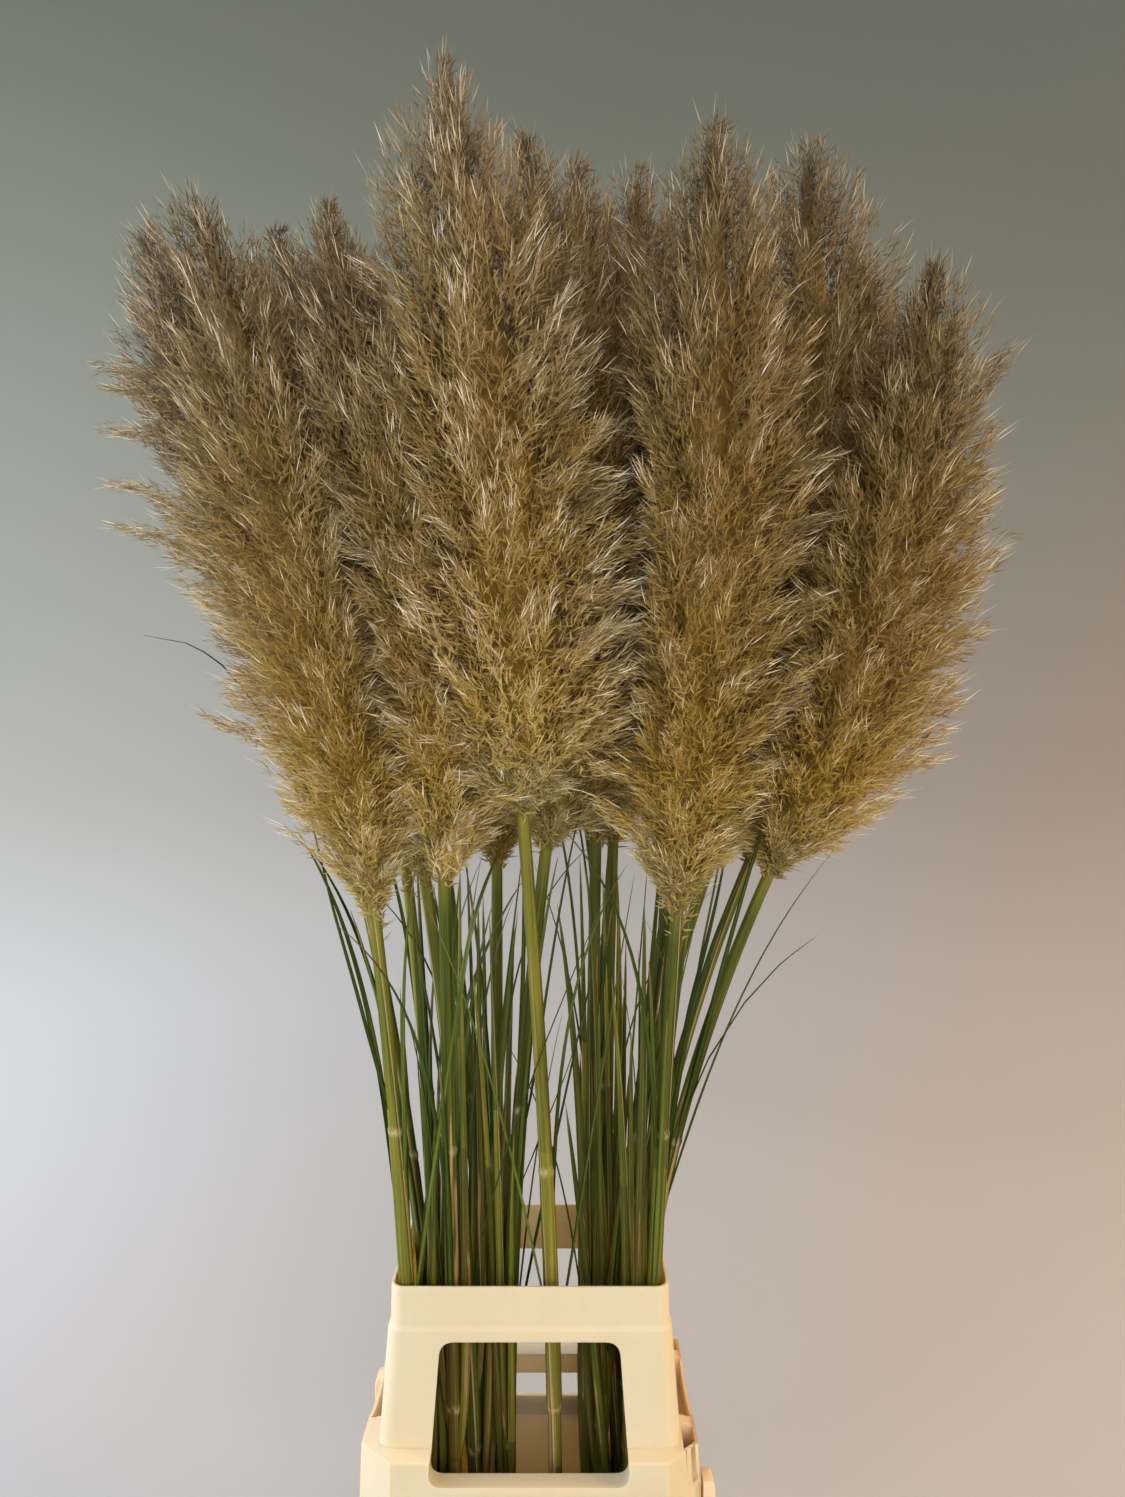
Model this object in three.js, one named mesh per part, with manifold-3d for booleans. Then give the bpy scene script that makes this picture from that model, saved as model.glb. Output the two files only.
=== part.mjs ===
// Cut pampas grass standing in a flower bucket with a tall windowed collar.
// Millimetres, +Z up. The origin is the middle of the bucket's underside and the front faces -Y.
//
// Each stalk is one green leafy stem with one plume on top. The stem is a jointed cane wrapped in
// sheaths, with long narrow blades fused to it. The plume is a slim core whose whole surface is drawn
// out into sprays that sweep up and out. Stalks stand on the bucket's floor, in water, and lean out
// over the collar's mouth.

import * as THREE from "three";
import { mergeVertices } from "three/addons/utils/BufferGeometryUtils.js";
import Module from "manifold-3d";

const wasm = await Module();
wasm.setup();

// ---------------------------------------------------------------- driving dimensions

const GAP = 0.3; // between pieces that touch
const WALL = 3; // of both mouldings
const FLOOR = 4; // thickness of the bucket's floor
const WATER_Z = 85; // the water's surface

// Height, half width (x), half depth (y) and corner size of the outside of each moulding, from the
// lowest ring up. Corners are cut off straight where bow is 0 and rounded where it is 1.
const BUCKET = {
  bottom: { z: 0, x: 155, y: 117, corner: 34, bow: 0 },
  flank: { z: 178, x: 179, y: 140, corner: 36, bow: 0 },
  seat: { z: 183, x: 188.5, y: 149.5, corner: 38, bow: 0 },
  brim: { z: 196, x: 189, y: 150, corner: 38, bow: 0 },
  lip: { z: 198, x: 193, y: 154, corner: 39, bow: 0 },
  top: { z: 206, x: 193, y: 154, corner: 39, bow: 0 },
};
const SEAT_Z = BUCKET.seat.z + WALL; // the collar's foot stands on this inner step

const COLLAR = {
  foot: { z: SEAT_Z + GAP, x: 184.5, y: 145.5, corner: 37, bow: 0 },
  ledge: { z: 301, x: 181, y: 142, corner: 36, bow: 0 },
  waist: { z: 305, x: 162, y: 122, corner: 18, bow: 1 },
  shoulder: { z: 423, x: 153.5, y: 113.5, corner: 16, bow: 1 },
  neck: { z: 431, x: 151, y: 111, corner: 16, bow: 1 },
  mouth: { z: 470, x: 150, y: 110, corner: 15, bow: 1 },
};
const RIM_Z = COLLAR.mouth.z;

const WINDOW = { bottom: 276, top: 413, halfLow: 106, halfHigh: 96, corner: 15 };
const WINDOW_FRAME = 3; // the window's edge turns in as a frame of this thickness
const SLOT = { bottom: 209, top: 239, halfLow: 72, halfHigh: 70, corner: 8 };

// Pockets in each side's shoulder, with ribs left standing between them. The shoulder's outer edge dips
// in an arc between the ribs, as a hand grip.
const POCKETS = { floor: 266, inner: 164, spans: [[-118, -76], [-60, 62], [78, 118]] };
const GRIP = { dip: 9, radius: 190, inner: 172 };

// A clip at the bucket's right front and left back. It stands up from the brim and has a round shoulder.
const CLIP = { inner: 186, outer: 198.5, from: -112, to: -86, low: 200, top: 263, corner: 9 };

const STEM_SIDES = 6;
const STEM_FOOT_R = 8;
const STEM_TOP_R = 6;
const STEM_STATIONS = [0, 0.17, 0.298, 0.302, 0.47, 0.638, 0.642, 0.82, 1];
const SHEATHS_FROM = [0.3, 0.64]; // shares of the stem's length
const SHEATH = 1.4; // how far each sheath stands proud of what it wraps

const LEAVES_PER_STEM = 3;
const LEAF_THICK = 1.5;
const LEAF_STEPS = 6;

const PLUME_SIDES = 8;
const PLUME_BANDS = 14;
const PLUME_CORE = 0.38; // the core's reach as a share of the sprays'
const SPRAY_RISE = 82; // how far above its root a long spray ends
const CLEAR = 4; // from a spray to the plane between two plumes

// Where each stalk meets the floor, the collar's mouth, the foot of its plume and its tip.
// radius is the plume's widest, out to the tips of its sprays.
const STALKS = [
  { foot: [-118, -76], mouth: [-135, -90], base: [-168, -118, 895], tip: [-352, -160, 1620], radius: 134 },
  { foot: [-80, -74], mouth: [-86, -84], base: [-92, -110, 925], tip: [-208, -158, 1585], radius: 128 },
  { foot: [26, -72], mouth: [22, -82], base: [-8, -118, 985], tip: [-88, -165, 1750], radius: 142 },
  { foot: [118, -72], mouth: [135, -86], base: [158, -120, 895], tip: [192, -165, 1690], radius: 136 },
  { foot: [116, -30], mouth: [134, -38], base: [268, -78, 922], tip: [436, -105, 1572], radius: 128 },
  { foot: [-66, -34], mouth: [-75, -40], base: [-126, -36, 930], tip: [-300, -6, 1650], radius: 123 },
  { foot: [-22, -28], mouth: [-22, -34], base: [18, -34, 945], tip: [-8, -45, 1740], radius: 123 },
  { foot: [88, -14], mouth: [98, -18], base: [212, -10, 930], tip: [318, -12, 1752], radius: 132 },
  { foot: [-116, 12], mouth: [-132, 12], base: [-212, 4, 940], tip: [-462, 18, 1660], radius: 134 },
  { foot: [-56, 20], mouth: [-62, 24], base: [-112, 44, 942], tip: [-262, 92, 1732], radius: 123 },
  { foot: [64, 24], mouth: [68, 28], base: [76, 52, 958], tip: [50, 72, 1778], radius: 123 },
  { foot: [114, 30], mouth: [131, 36], base: [270, 58, 925], tip: [412, 88, 1650], radius: 123 },
  { foot: [76, 68], mouth: [85, 82], base: [100, 118, 945], tip: [134, 178, 1822], radius: 130 },
  { foot: [-44, 66], mouth: [-46, 78], base: [-48, 112, 922], tip: [-130, 170, 1726], radius: 128 },
  { foot: [104, 72], mouth: [119, 84], base: [184, 118, 930], tip: [282, 186, 1700], radius: 128 },
  { foot: [-106, 68], mouth: [-122, 82], base: [-168, 116, 930], tip: [-352, 176, 1676], radius: 130 },
];

const STRAW = { color: 0xb39a6b, roughness: 0.95, metalness: 0 };
const CANE = { color: 0x64712a, roughness: 0.55, metalness: 0 };
const CREAM = { color: 0xefdcb4, roughness: 0.45, metalness: 0 };
const WATER = { color: 0x9fb4ac, roughness: 0.1, metalness: 0, transparent: true, opacity: 0.5 };

// ---------------------------------------------------------------- solids

const { lerp, clamp } = THREE.MathUtils;

// Repeatable random numbers from 0 to 1.
function dice(seed) {
  let state = seed * 7919 + 17;
  return () => {
    state = (state * 16807) % 2147483647;
    return state / 2147483647;
  };
}

function solid(shape) {
  const bare = shape.clone();
  bare.deleteAttribute("normal");
  bare.deleteAttribute("uv");
  const merged = mergeVertices(bare, 1e-4);
  const vertProperties = merged.attributes.position.array;
  const triVerts = new Uint32Array(merged.index.array);
  return new wasm.Manifold(new wasm.Mesh({ numProp: 3, vertProperties, triVerts }));
}

function skin(points, faces) {
  const made = new THREE.BufferGeometry();
  made.setAttribute("position", new THREE.Float32BufferAttribute(points.flatMap((p) => [p.x, p.y, p.z]), 3));
  made.setIndex(faces.flat());
  return solid(made);
}

// The faces between two rings of count points, facing out where the rings rise.
function band(lower, upper, count) {
  const faces = [];
  for (let i = 0; i < count; i++) {
    const j = (i + 1) % count;
    faces.push([lower + i, lower + j, upper + j], [lower + i, upper + j, upper + i]);
  }
  return faces;
}

function cap(first, count, up) {
  const faces = [];
  for (let i = 1; i < count - 1; i++) {
    faces.push(up ? [first, first + i, first + i + 1] : [first, first + i + 1, first + i]);
  }
  return faces;
}

// Skins a stack of rings of points, from the lowest up, and closes both ends.
function loft(rings) {
  const count = rings[0].length;
  const faces = [...cap(0, count, false), ...cap((rings.length - 1) * count, count, true)];
  for (let k = 1; k < rings.length; k++) faces.push(...band((k - 1) * count, k * count, count));
  return skin(rings.flat(), faces);
}

function block([x0, x1], [y0, y1], [z0, z1]) {
  const made = new THREE.BoxGeometry(x1 - x0, y1 - y0, z1 - z0);
  made.translate((x0 + x1) / 2, (y0 + y1) / 2, (z0 + z1) / 2);
  return solid(made);
}

// A face drawn in x and z, pushed along y from near to far.
function slab(face, near, far) {
  const made = new THREE.ExtrudeGeometry(face, { depth: far - near, bevelEnabled: false, curveSegments: 4 });
  made.rotateX(Math.PI / 2);
  made.translate(0, far, 0);
  return solid(made);
}

// A face with its corners rounded, each by its own size.
function rounded(corners) {
  const face = new THREE.Shape();
  const count = corners.length;
  corners.forEach(({ x, z, r }, i) => {
    const at = new THREE.Vector2(x, z);
    const [before, after] = [corners[(i + count - 1) % count], corners[(i + 1) % count]].map((to) =>
      new THREE.Vector2(to.x, to.z).sub(at).setLength(r).add(at));
    if (i) face.lineTo(before.x, before.y);
    else face.moveTo(before.x, before.y);
    if (r) face.quadraticCurveTo(at.x, at.y, after.x, after.y);
  });
  face.closePath();
  return face;
}

function piece(name, body, look) {
  const { vertProperties, triVerts } = body.getMesh();
  const made = new THREE.BufferGeometry();
  made.setAttribute("position", new THREE.BufferAttribute(vertProperties, 3));
  made.setIndex(new THREE.BufferAttribute(triVerts, 1));
  made.computeVertexNormals();
  const mesh = new THREE.Mesh(made, new THREE.MeshStandardMaterial(look));
  mesh.name = name;
  return mesh;
}

// ---------------------------------------------------------------- bucket and collar

const CORNER_STEPS = 3;

// A level rectangle with its four corners rounded or cut off straight, run anticlockwise.
function outline({ z, x, y, corner, bow }) {
  const points = [];
  [[1, 1], [-1, 1], [-1, -1], [1, -1]].forEach(([sx, sy], quarter) => {
    for (let i = 0; i <= CORNER_STEPS; i++) {
      const turn = (quarter % 2 ? CORNER_STEPS - i : i) / CORNER_STEPS;
      const across = x - corner + corner * lerp(1 - turn, Math.cos((turn * Math.PI) / 2), bow);
      const along = y - corner + corner * lerp(turn, Math.sin((turn * Math.PI) / 2), bow);
      points.push(new THREE.Vector3(sx * across, sy * along, z));
    }
  });
  return points;
}

const shrunk = (level, by, z = level.z) => ({
  ...level,
  z,
  x: level.x - by,
  y: level.y - by,
  corner: level.corner - by * (level.bow ? 1 : 0.6),
});

function bucketInside(z) {
  const share = (z - BUCKET.bottom.z) / (BUCKET.flank.z - BUCKET.bottom.z);
  const x = lerp(BUCKET.bottom.x, BUCKET.flank.x, share);
  const y = lerp(BUCKET.bottom.y, BUCKET.flank.y, share);
  return shrunk({ z, x, y, corner: lerp(BUCKET.bottom.corner, BUCKET.flank.corner, share), bow: 0 }, WALL);
}

function clip() {
  const { inner, outer, from, to, low, top, corner } = CLIP;
  const face = rounded([
    { x: inner, z: low, r: 0 }, { x: outer, z: low, r: 0 },
    { x: outer, z: top, r: corner }, { x: inner, z: top, r: 0 },
  ]);
  return slab(face, from, to);
}

function bucket() {
  const { bottom, flank, seat, brim, lip, top } = BUCKET;
  const insideSeat = shrunk(seat, WALL, SEAT_Z);
  const rings = [
    bottom, flank, seat, brim, lip, top,
    shrunk(top, lip.x - brim.x + WALL), insideSeat,
    shrunk(insideSeat, 8), bucketInside(flank.z - WALL), bucketInside(FLOOR),
  ];
  const shell = loft(rings.map(outline));
  return shell.add(clip()).add(clip().rotate([0, 0, 180]));
}

// A round-cornered hole through the collar's front and back, grown on all sides by grow.
function opening({ bottom, top, halfLow, halfHigh, corner }, grow = 0) {
  const reach = COLLAR.foot.y + 10;
  const r = corner + grow;
  const right = [{ x: halfLow + grow, z: bottom - grow, r }, { x: halfHigh + grow, z: top + grow, r }];
  const left = right.map((at) => ({ ...at, x: -at.x })).reverse();
  return slab(rounded([...right, ...left]), -reach, reach);
}

// What the pockets and the grip take out of the right shoulder.
function pockets() {
  const { ledge } = COLLAR;
  const above = ledge.z + 20;
  const within = loft([POCKETS.floor, above].map((z) => outline(shrunk(ledge, WALL, z))));
  const blocks = POCKETS.spans.map((span) => block([POCKETS.inner, ledge.x], span, [POCKETS.floor, above]));
  const thick = 2 * (ledge.x - GRIP.inner);
  const arc = new THREE.CylinderGeometry(GRIP.radius, GRIP.radius, thick, 48);
  arc.rotateZ(Math.PI / 2);
  const [from, to] = POCKETS.spans[1];
  arc.translate(ledge.x, (from + to) / 2, ledge.z - GRIP.dip + GRIP.radius);
  return blocks.reduce((all, one) => all.add(one)).intersect(within).add(solid(arc));
}

function collar() {
  const { foot, ledge, waist, shoulder, neck, mouth } = COLLAR;
  const full = loft(Object.values(COLLAR).map(outline));
  // The hollow runs past both ends, so that the foot and the mouth are open.
  const hollow = loft([
    shrunk(foot, WALL, foot.z - GAP), shrunk(ledge, WALL, ledge.z - WALL), shrunk(waist, WALL, waist.z - WALL),
    shrunk(shoulder, WALL), shrunk(neck, WALL), shrunk(mouth, WALL, mouth.z + GAP),
  ].map(outline));
  const middle = block([-foot.x, foot.x], [4 - waist.y, waist.y - 4], [foot.z, mouth.z]);
  const frame = opening(WINDOW, WINDOW_FRAME).subtract(middle).intersect(full);
  const end = POCKETS.spans.at(-1)[1] + WALL;
  const trough = block([POCKETS.inner - WALL, foot.x], [-end, end], [POCKETS.floor - WALL, ledge.z + 1]);
  const onBothSides = (body) => body.add(body.rotate([0, 0, 180]));
  return full.subtract(hollow).add(frame).add(onBothSides(trough.intersect(full)))
    .subtract(onBothSides(pockets())).subtract(opening(WINDOW)).subtract(opening(SLOT));
}

// ---------------------------------------------------------------- where the stalks run

// A stem bends from the floor through the collar's mouth to the plume, and the plume goes on the same way.
const AXES = STALKS.map(({ foot, mouth, base, tip, radius }, index) => {
  const places = [[...foot, FLOOR + GAP], [...mouth, RIM_Z], base, tip];
  const [ground, through, top, end] = places.map((place) => new THREE.Vector3(...place));
  const bend = through.multiplyScalar(2).addScaledVector(ground, -0.5).addScaledVector(top, -0.5);
  const onward = top.clone().sub(bend).setLength(0.45 * top.distanceTo(end)).add(top);
  return {
    seed: index + 1,
    radius,
    stem: new THREE.QuadraticBezierCurve3(ground, bend, top),
    plume: new THREE.QuadraticBezierCurve3(top, onward, end),
    trace: [],
  };
});

// How wide a plume is at a share u of its length, against its widest. It swells fast and tapers long.
const SWELL = 0.35;
const TAPER = 0.82;
const bulge = (u) => Math.pow(u, SWELL) * Math.pow(1 - u, TAPER);
const swell = (u) => bulge(clamp(u, 0, 1)) / bulge(SWELL / (SWELL + TAPER));

const TRACE_STEPS = 24;
for (const { stem, plume, radius, trace } of AXES) {
  for (let i = 0; i < TRACE_STEPS; i++) {
    trace.push({ p: stem.getPoint(i / TRACE_STEPS), room: STEM_FOOT_R + SHEATH, plume: false });
  }
  for (let i = 0; i <= TRACE_STEPS; i++) {
    trace.push({ p: plume.getPoint(i / TRACE_STEPS), room: radius * swell(i / TRACE_STEPS), plume: true });
  }
}

// Where a stalk is at a height, and how much room it takes there, or null above its tip.
function at(axis, z) {
  const { trace } = axis;
  if (z >= trace.at(-1).p.z) return null;
  let k = 1;
  while (trace[k].p.z < z) k++;
  const [a, b] = [trace[k - 1], trace[k]];
  const share = clamp((z - a.p.z) / (b.p.z - a.p.z), 0, 1);
  return {
    x: lerp(a.p.x, b.p.x, share),
    y: lerp(a.p.y, b.p.y, share),
    room: a.plume ? lerp(a.room, b.room, share) : a.room,
    plume: a.plume,
  };
}

// How far level sprays may reach from a plume's axis. Between two plumes stands a plane, nearer to the
// slimmer one, that neither crosses.
function reach(axis, z, angle, room) {
  const own = at(axis, z);
  let far = room;
  for (const other of AXES) {
    const there = other === axis ? null : at(other, z);
    if (!there) continue;
    const [dx, dy] = [there.x - own.x, there.y - own.y];
    const apart = Math.hypot(dx, dy);
    const share = clamp(0.5 + (own.room ** 2 - there.room ** 2) / (2 * apart * apart), 0.22, 0.78);
    const wall = there.plume ? apart * share - CLEAR : apart - there.room - 2 * CLEAR;
    const towards = (dx * Math.cos(angle) + dy * Math.sin(angle)) / apart;
    if (towards > 0.01) far = Math.min(far, wall / towards);
  }
  return far;
}

// ---------------------------------------------------------------- leafy stems

const placed = [];

// A leaf's midline, in equal steps. It leaves the cane, runs up beside it and arches over.
function midline(axis, { t, turn, length, splay, arch }) {
  const root = axis.stem.getPoint(t);
  const up = axis.stem.getTangent(t);
  const out = new THREE.Vector3(Math.cos(turn), Math.sin(turn), 0);
  return Array.from({ length: LEAF_STEPS + 1 }, (_, i) => {
    const s = i / LEAF_STEPS;
    const p = root.clone().addScaledVector(up, length * s * (1 - 0.16 * arch * s * s));
    return p.addScaledVector(out, 3 + length * (splay * s + 0.3 * arch * s * s * s));
  });
}

const halfWidth = (width, s) => 0.5 * width * Math.min(1, 0.55 + 1.6 * s) * Math.pow(1 - s, 0.55) + 0.3;

const PARTS = 7; // checks along each step of a leaf

// The spheres that hold a leaf, or null where one of them meets a stalk, a leaf or the collar.
function fit(axis, line, width) {
  const spheres = [];
  for (let n = 0; n <= LEAF_STEPS * PARTS; n++) {
    const i = Math.min(Math.floor(n / PARTS), LEAF_STEPS - 1);
    const p = line[i].clone().lerp(line[i + 1], n / PARTS - i);
    const half = halfWidth(width, n / (LEAF_STEPS * PARTS)) + 2.2;
    for (const other of AXES) {
      const there = at(other, p.z);
      if (!there || (other === axis && !there.plume)) continue;
      if (Math.hypot(p.x - there.x, p.y - there.y) < there.room + half) return null;
    }
    const { x, y } = COLLAR.mouth;
    if (p.z < RIM_Z + 15 && (Math.abs(p.x) + half > x - 6 || Math.abs(p.y) + half > y - 7)) return null;
    if (placed.some((other) => p.distanceTo(other.p) < half + other.half)) return null;
    spheres.push({ p, half });
  }
  return spheres;
}

const TRIES = 200;

// Leaves are tried at random round the cane, ever shorter, until one fits.
function leavesOf(axis) {
  const roll = dice(axis.seed);
  const leaves = [];
  for (let n = 0; n < LEAVES_PER_STEM; n++) {
    for (let attempt = 0; attempt < TRIES; attempt++) {
      const t = lerp(0.36, 0.86, roll());
      const turn = 2 * Math.PI * roll();
      const length = lerp(560, 180, attempt / TRIES) * lerp(0.8, 1.1, roll());
      const splay = lerp(0.05, 0.22, roll() ** 2);
      const arch = lerp(0, 0.9, roll() ** 2);
      const width = lerp(7, 10.5, roll());
      const line = midline(axis, { t, turn, length, splay, arch });
      const spheres = fit(axis, line, width);
      if (!spheres) continue;
      placed.push(...spheres);
      leaves.push({ line, width, turn });
      break;
    }
  }
  return leaves;
}

// A narrow blade, folded along its keel. Each ring has the keel and the two edges.
function blade({ line, width, turn }) {
  const across = new THREE.Vector3(-Math.sin(turn), Math.cos(turn), 0);
  return loft(line.map((p, i) => {
    const ahead = line[Math.min(i + 1, LEAF_STEPS)].clone().sub(line[Math.max(i - 1, 0)]).normalize();
    const under = across.clone().cross(ahead).normalize();
    const half = halfWidth(width, i / LEAF_STEPS);
    const thick = Math.max(LEAF_THICK * Math.min(1, half / 3), 0.7);
    return [
      p.clone().addScaledVector(under, thick),
      p.clone().addScaledVector(across, half),
      p.clone().addScaledVector(across, -half),
    ];
  }));
}

// A level ring of points.
function level({ x, y, z }, radius, sides) {
  return Array.from({ length: sides }, (_, i) => {
    const angle = (2 * Math.PI * i) / sides;
    return new THREE.Vector3(x + radius * Math.cos(angle), y + radius * Math.sin(angle), z);
  });
}

function caneRadius(t) {
  const sheaths = SHEATHS_FROM.filter((from) => t > from).length;
  return lerp(STEM_FOOT_R, STEM_TOP_R, t) + SHEATH * Math.min(sheaths, 1) * (sheaths > 1 ? 0.6 : 1);
}

function cane(axis, stations = STEM_STATIONS, grow = 0) {
  return loft(stations.map((t) => level(axis.stem.getPoint(t), caneRadius(t) + grow, STEM_SIDES)));
}

function leafyStem(axis) {
  return leavesOf(axis).reduce((body, leaf) => body.add(blade(leaf)), cane(axis));
}

// The water, with a hole for each stem from below its underside to above its surface.
function water() {
  const bottom = shrunk(bucketInside(FLOOR + GAP), GAP);
  const surface = shrunk(bucketInside(WATER_Z), GAP);
  const hole = (axis) => cane(axis, [-0.01, STEM_STATIONS[1]], 3 * GAP);
  return AXES.reduce((body, axis) => body.subtract(hole(axis)), loft([outline(bottom), outline(surface)]));
}

// ---------------------------------------------------------------- plumes

const CORE_TOP = 0.9; // shares of the plume's length
const TOP_SPRAY = 0.985;
const LEAST_CORE = 3.6;
const LEAST_SPRAY = 8;

// A point level with a place on a stalk's axis, so far from it in a direction.
function beside(axis, z, angle, far) {
  const { x, y } = at(axis, z);
  return new THREE.Vector3(x + far * Math.cos(angle), y + far * Math.sin(angle), z);
}

// The core's rings turn by half a step from one to the next, so that its faces are triangles that
// stand on one ring and hang from the other. Each of them is drawn out into a three-sided spray.
function plume(axis) {
  const roll = dice(100 + axis.seed);
  const foot = axis.plume.getPoint(0).z;
  const rise = axis.plume.getPoint(1).z - foot;
  const roomAt = (u) => axis.radius * swell(u);
  const points = [];
  const faces = [];

  for (let k = 0; k <= PLUME_BANDS; k++) {
    const u = CORE_TOP * (k / PLUME_BANDS);
    const z = k ? axis.plume.getPoint(u).z : foot + 2 * GAP;
    for (let i = 0; i < PLUME_SIDES; i++) {
      const angle = ((i + (k % 2) / 2) / PLUME_SIDES) * 2 * Math.PI;
      const core = Math.max(PLUME_CORE * reach(axis, z, angle, roomAt(u)), LEAST_CORE);
      points.push(beside(axis, z, angle, core));
    }
  }

  const drawOut = (...corners) => {
    const root = corners.reduce((sum, i) => sum.add(points[i]), new THREE.Vector3()).divideScalar(3);
    const centre = at(axis, root.z);
    const angle = Math.atan2(root.y - centre.y, root.x - centre.x);
    const u = (root.z - foot) / rise;
    const spread = reach(axis, root.z, angle, roomAt(u)) / axis.radius;
    const climb = SPRAY_RISE * lerp(0.92, 1.08, roll()) * clamp(spread, 0.45, 1);
    const end = Math.min(u + climb / rise, TOP_SPRAY + 0.1 * (u - CORE_TOP));
    const z = foot + end * rise;
    const room = Math.max(roomAt(end) * lerp(0.9, 1, roll()), 1.5 * LEAST_SPRAY);
    const tip = points.push(beside(axis, z, angle, Math.max(reach(axis, z, angle, room), LEAST_SPRAY))) - 1;
    corners.forEach((from, i) => faces.push([from, corners[(i + 1) % 3], tip]));
  };

  for (let k = 1; k <= PLUME_BANDS; k++) {
    const [low, high] = [(k - 1) * PLUME_SIDES, k * PLUME_SIDES];
    for (let i = 0; i < PLUME_SIDES; i++) {
      const j = (i + 1) % PLUME_SIDES;
      // An even ring's corner stands half a step behind the same corner of the next ring.
      const ahead = k % 2 ? i : j;
      const behind = k % 2 ? j : i;
      drawOut(low + i, low + j, high + ahead);
      drawOut(low + behind, high + j, high + i);
    }
  }
  const last = PLUME_BANDS * PLUME_SIDES;
  const top = points.push(axis.plume.getPoint(1)) - 1;
  for (let i = 0; i < PLUME_SIDES; i++) faces.push([last + i, last + ((i + 1) % PLUME_SIDES), top]);
  faces.push(...cap(0, PLUME_SIDES, false));
  return skin(points, faces);
}

// ---------------------------------------------------------------- the whole

const pampas = new THREE.Group();
pampas.add(piece("bucket", bucket(), CREAM));
pampas.add(piece("collar", collar(), CREAM));
pampas.add(piece("water", water(), WATER));
for (const axis of AXES) {
  const number = String(axis.seed).padStart(2, "0");
  pampas.add(piece(`stem_${number}`, leafyStem(axis), CANE));
  pampas.add(piece(`plume_${number}`, plume(axis), STRAW));
}

export default pampas;
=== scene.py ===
import math

import bpy
import numpy as np
from mathutils import Matrix, Vector


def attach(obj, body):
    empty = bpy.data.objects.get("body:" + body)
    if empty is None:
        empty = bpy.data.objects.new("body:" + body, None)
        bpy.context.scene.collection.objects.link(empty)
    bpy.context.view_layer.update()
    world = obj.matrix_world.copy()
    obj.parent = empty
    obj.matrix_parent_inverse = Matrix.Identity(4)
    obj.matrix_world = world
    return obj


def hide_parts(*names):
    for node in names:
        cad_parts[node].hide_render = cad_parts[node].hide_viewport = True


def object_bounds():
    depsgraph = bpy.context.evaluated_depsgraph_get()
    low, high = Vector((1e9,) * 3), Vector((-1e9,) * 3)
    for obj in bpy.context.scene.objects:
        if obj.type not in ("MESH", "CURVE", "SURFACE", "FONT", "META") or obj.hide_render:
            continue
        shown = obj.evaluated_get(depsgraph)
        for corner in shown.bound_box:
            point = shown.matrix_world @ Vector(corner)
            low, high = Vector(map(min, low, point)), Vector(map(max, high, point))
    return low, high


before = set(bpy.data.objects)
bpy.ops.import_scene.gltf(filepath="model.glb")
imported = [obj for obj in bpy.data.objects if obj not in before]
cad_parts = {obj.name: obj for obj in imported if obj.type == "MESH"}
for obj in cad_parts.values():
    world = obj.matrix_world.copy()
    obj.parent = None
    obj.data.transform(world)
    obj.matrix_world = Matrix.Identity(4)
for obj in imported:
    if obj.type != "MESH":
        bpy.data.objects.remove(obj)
cad_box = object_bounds()
scene = bpy.context.scene
scene.view_settings.view_transform = "Standard"

# ---- Camera -------------------------------------------------------------------------------------
# A level lens stands a step in front of the bucket, at chest height and just right of its middle.
# It is wide enough to take in the whole bunch, down to the collar's shoulder.

PICTURE_TALL = 1497
FOCAL_PIXELS = 1124

lens = bpy.data.cameras.new("camera")
lens.sensor_width = 36
lens.lens = lens.sensor_width * FOCAL_PIXELS / PICTURE_TALL
camera = bpy.data.objects.new("camera", lens)
camera.location = (0.035, -1.314, 1.047)
camera.rotation_euler = (math.radians(90), 0, 0)
scene.collection.objects.link(camera)
scene.camera = camera

# ---- Studio -------------------------------------------------------------------------------------
# A pale painted floor that turns up, in one wide sweep, into a round wall, so no edge shows.
# Soft lamps hang on the left and in front, with two warm ones on the right.

COVE_REACH = 6.8
COVE_SWEEP = 4.6
COVE_TOP = 9.0
COVE_SIDES = 96


class Wire:
    """What flows out of a node. Sums on it add Math nodes to the same graph."""

    def __init__(self, graph, socket):
        self.graph = graph
        self.socket = socket

    def sum(self, operation, *values):
        return self.graph.node("ShaderNodeMath", {"operation": operation}, dict(enumerate(values)))

    def __add__(self, other):
        return self.sum("ADD", self, other)

    def __radd__(self, other):
        return self.sum("ADD", other, self)

    def __sub__(self, other):
        return self.sum("SUBTRACT", self, other)

    def __rsub__(self, other):
        return self.sum("SUBTRACT", other, self)

    def __mul__(self, other):
        return self.sum("MULTIPLY", self, other)

    def __rmul__(self, other):
        return self.sum("MULTIPLY", other, self)

    def __truediv__(self, other):
        return self.sum("DIVIDE", self, other)

    def __rtruediv__(self, other):
        return self.sum("DIVIDE", other, self)

    def __pow__(self, other):
        return self.sum("POWER", self, other)

    def beside(self, output):
        """Another output of the same node."""
        return Wire(self.graph, self.socket.node.outputs[output])

    def cosine(self):
        return self.sum("COSINE", self)

    def sine(self):
        return self.sum("SINE", self)

    def fraction(self):
        return self.sum("FRACT", self)

    def above(self, other):
        return self.sum("GREATER_THAN", self, other)

    def least(self, other):
        return self.sum("MINIMUM", self, other)

    def most(self, other):
        return self.sum("MAXIMUM", self, other)

    def between(self, low, high):
        """0 below low, 1 above high and even in between."""
        share = (self - low) / (high - low)
        return share.most(0).least(1)


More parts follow.
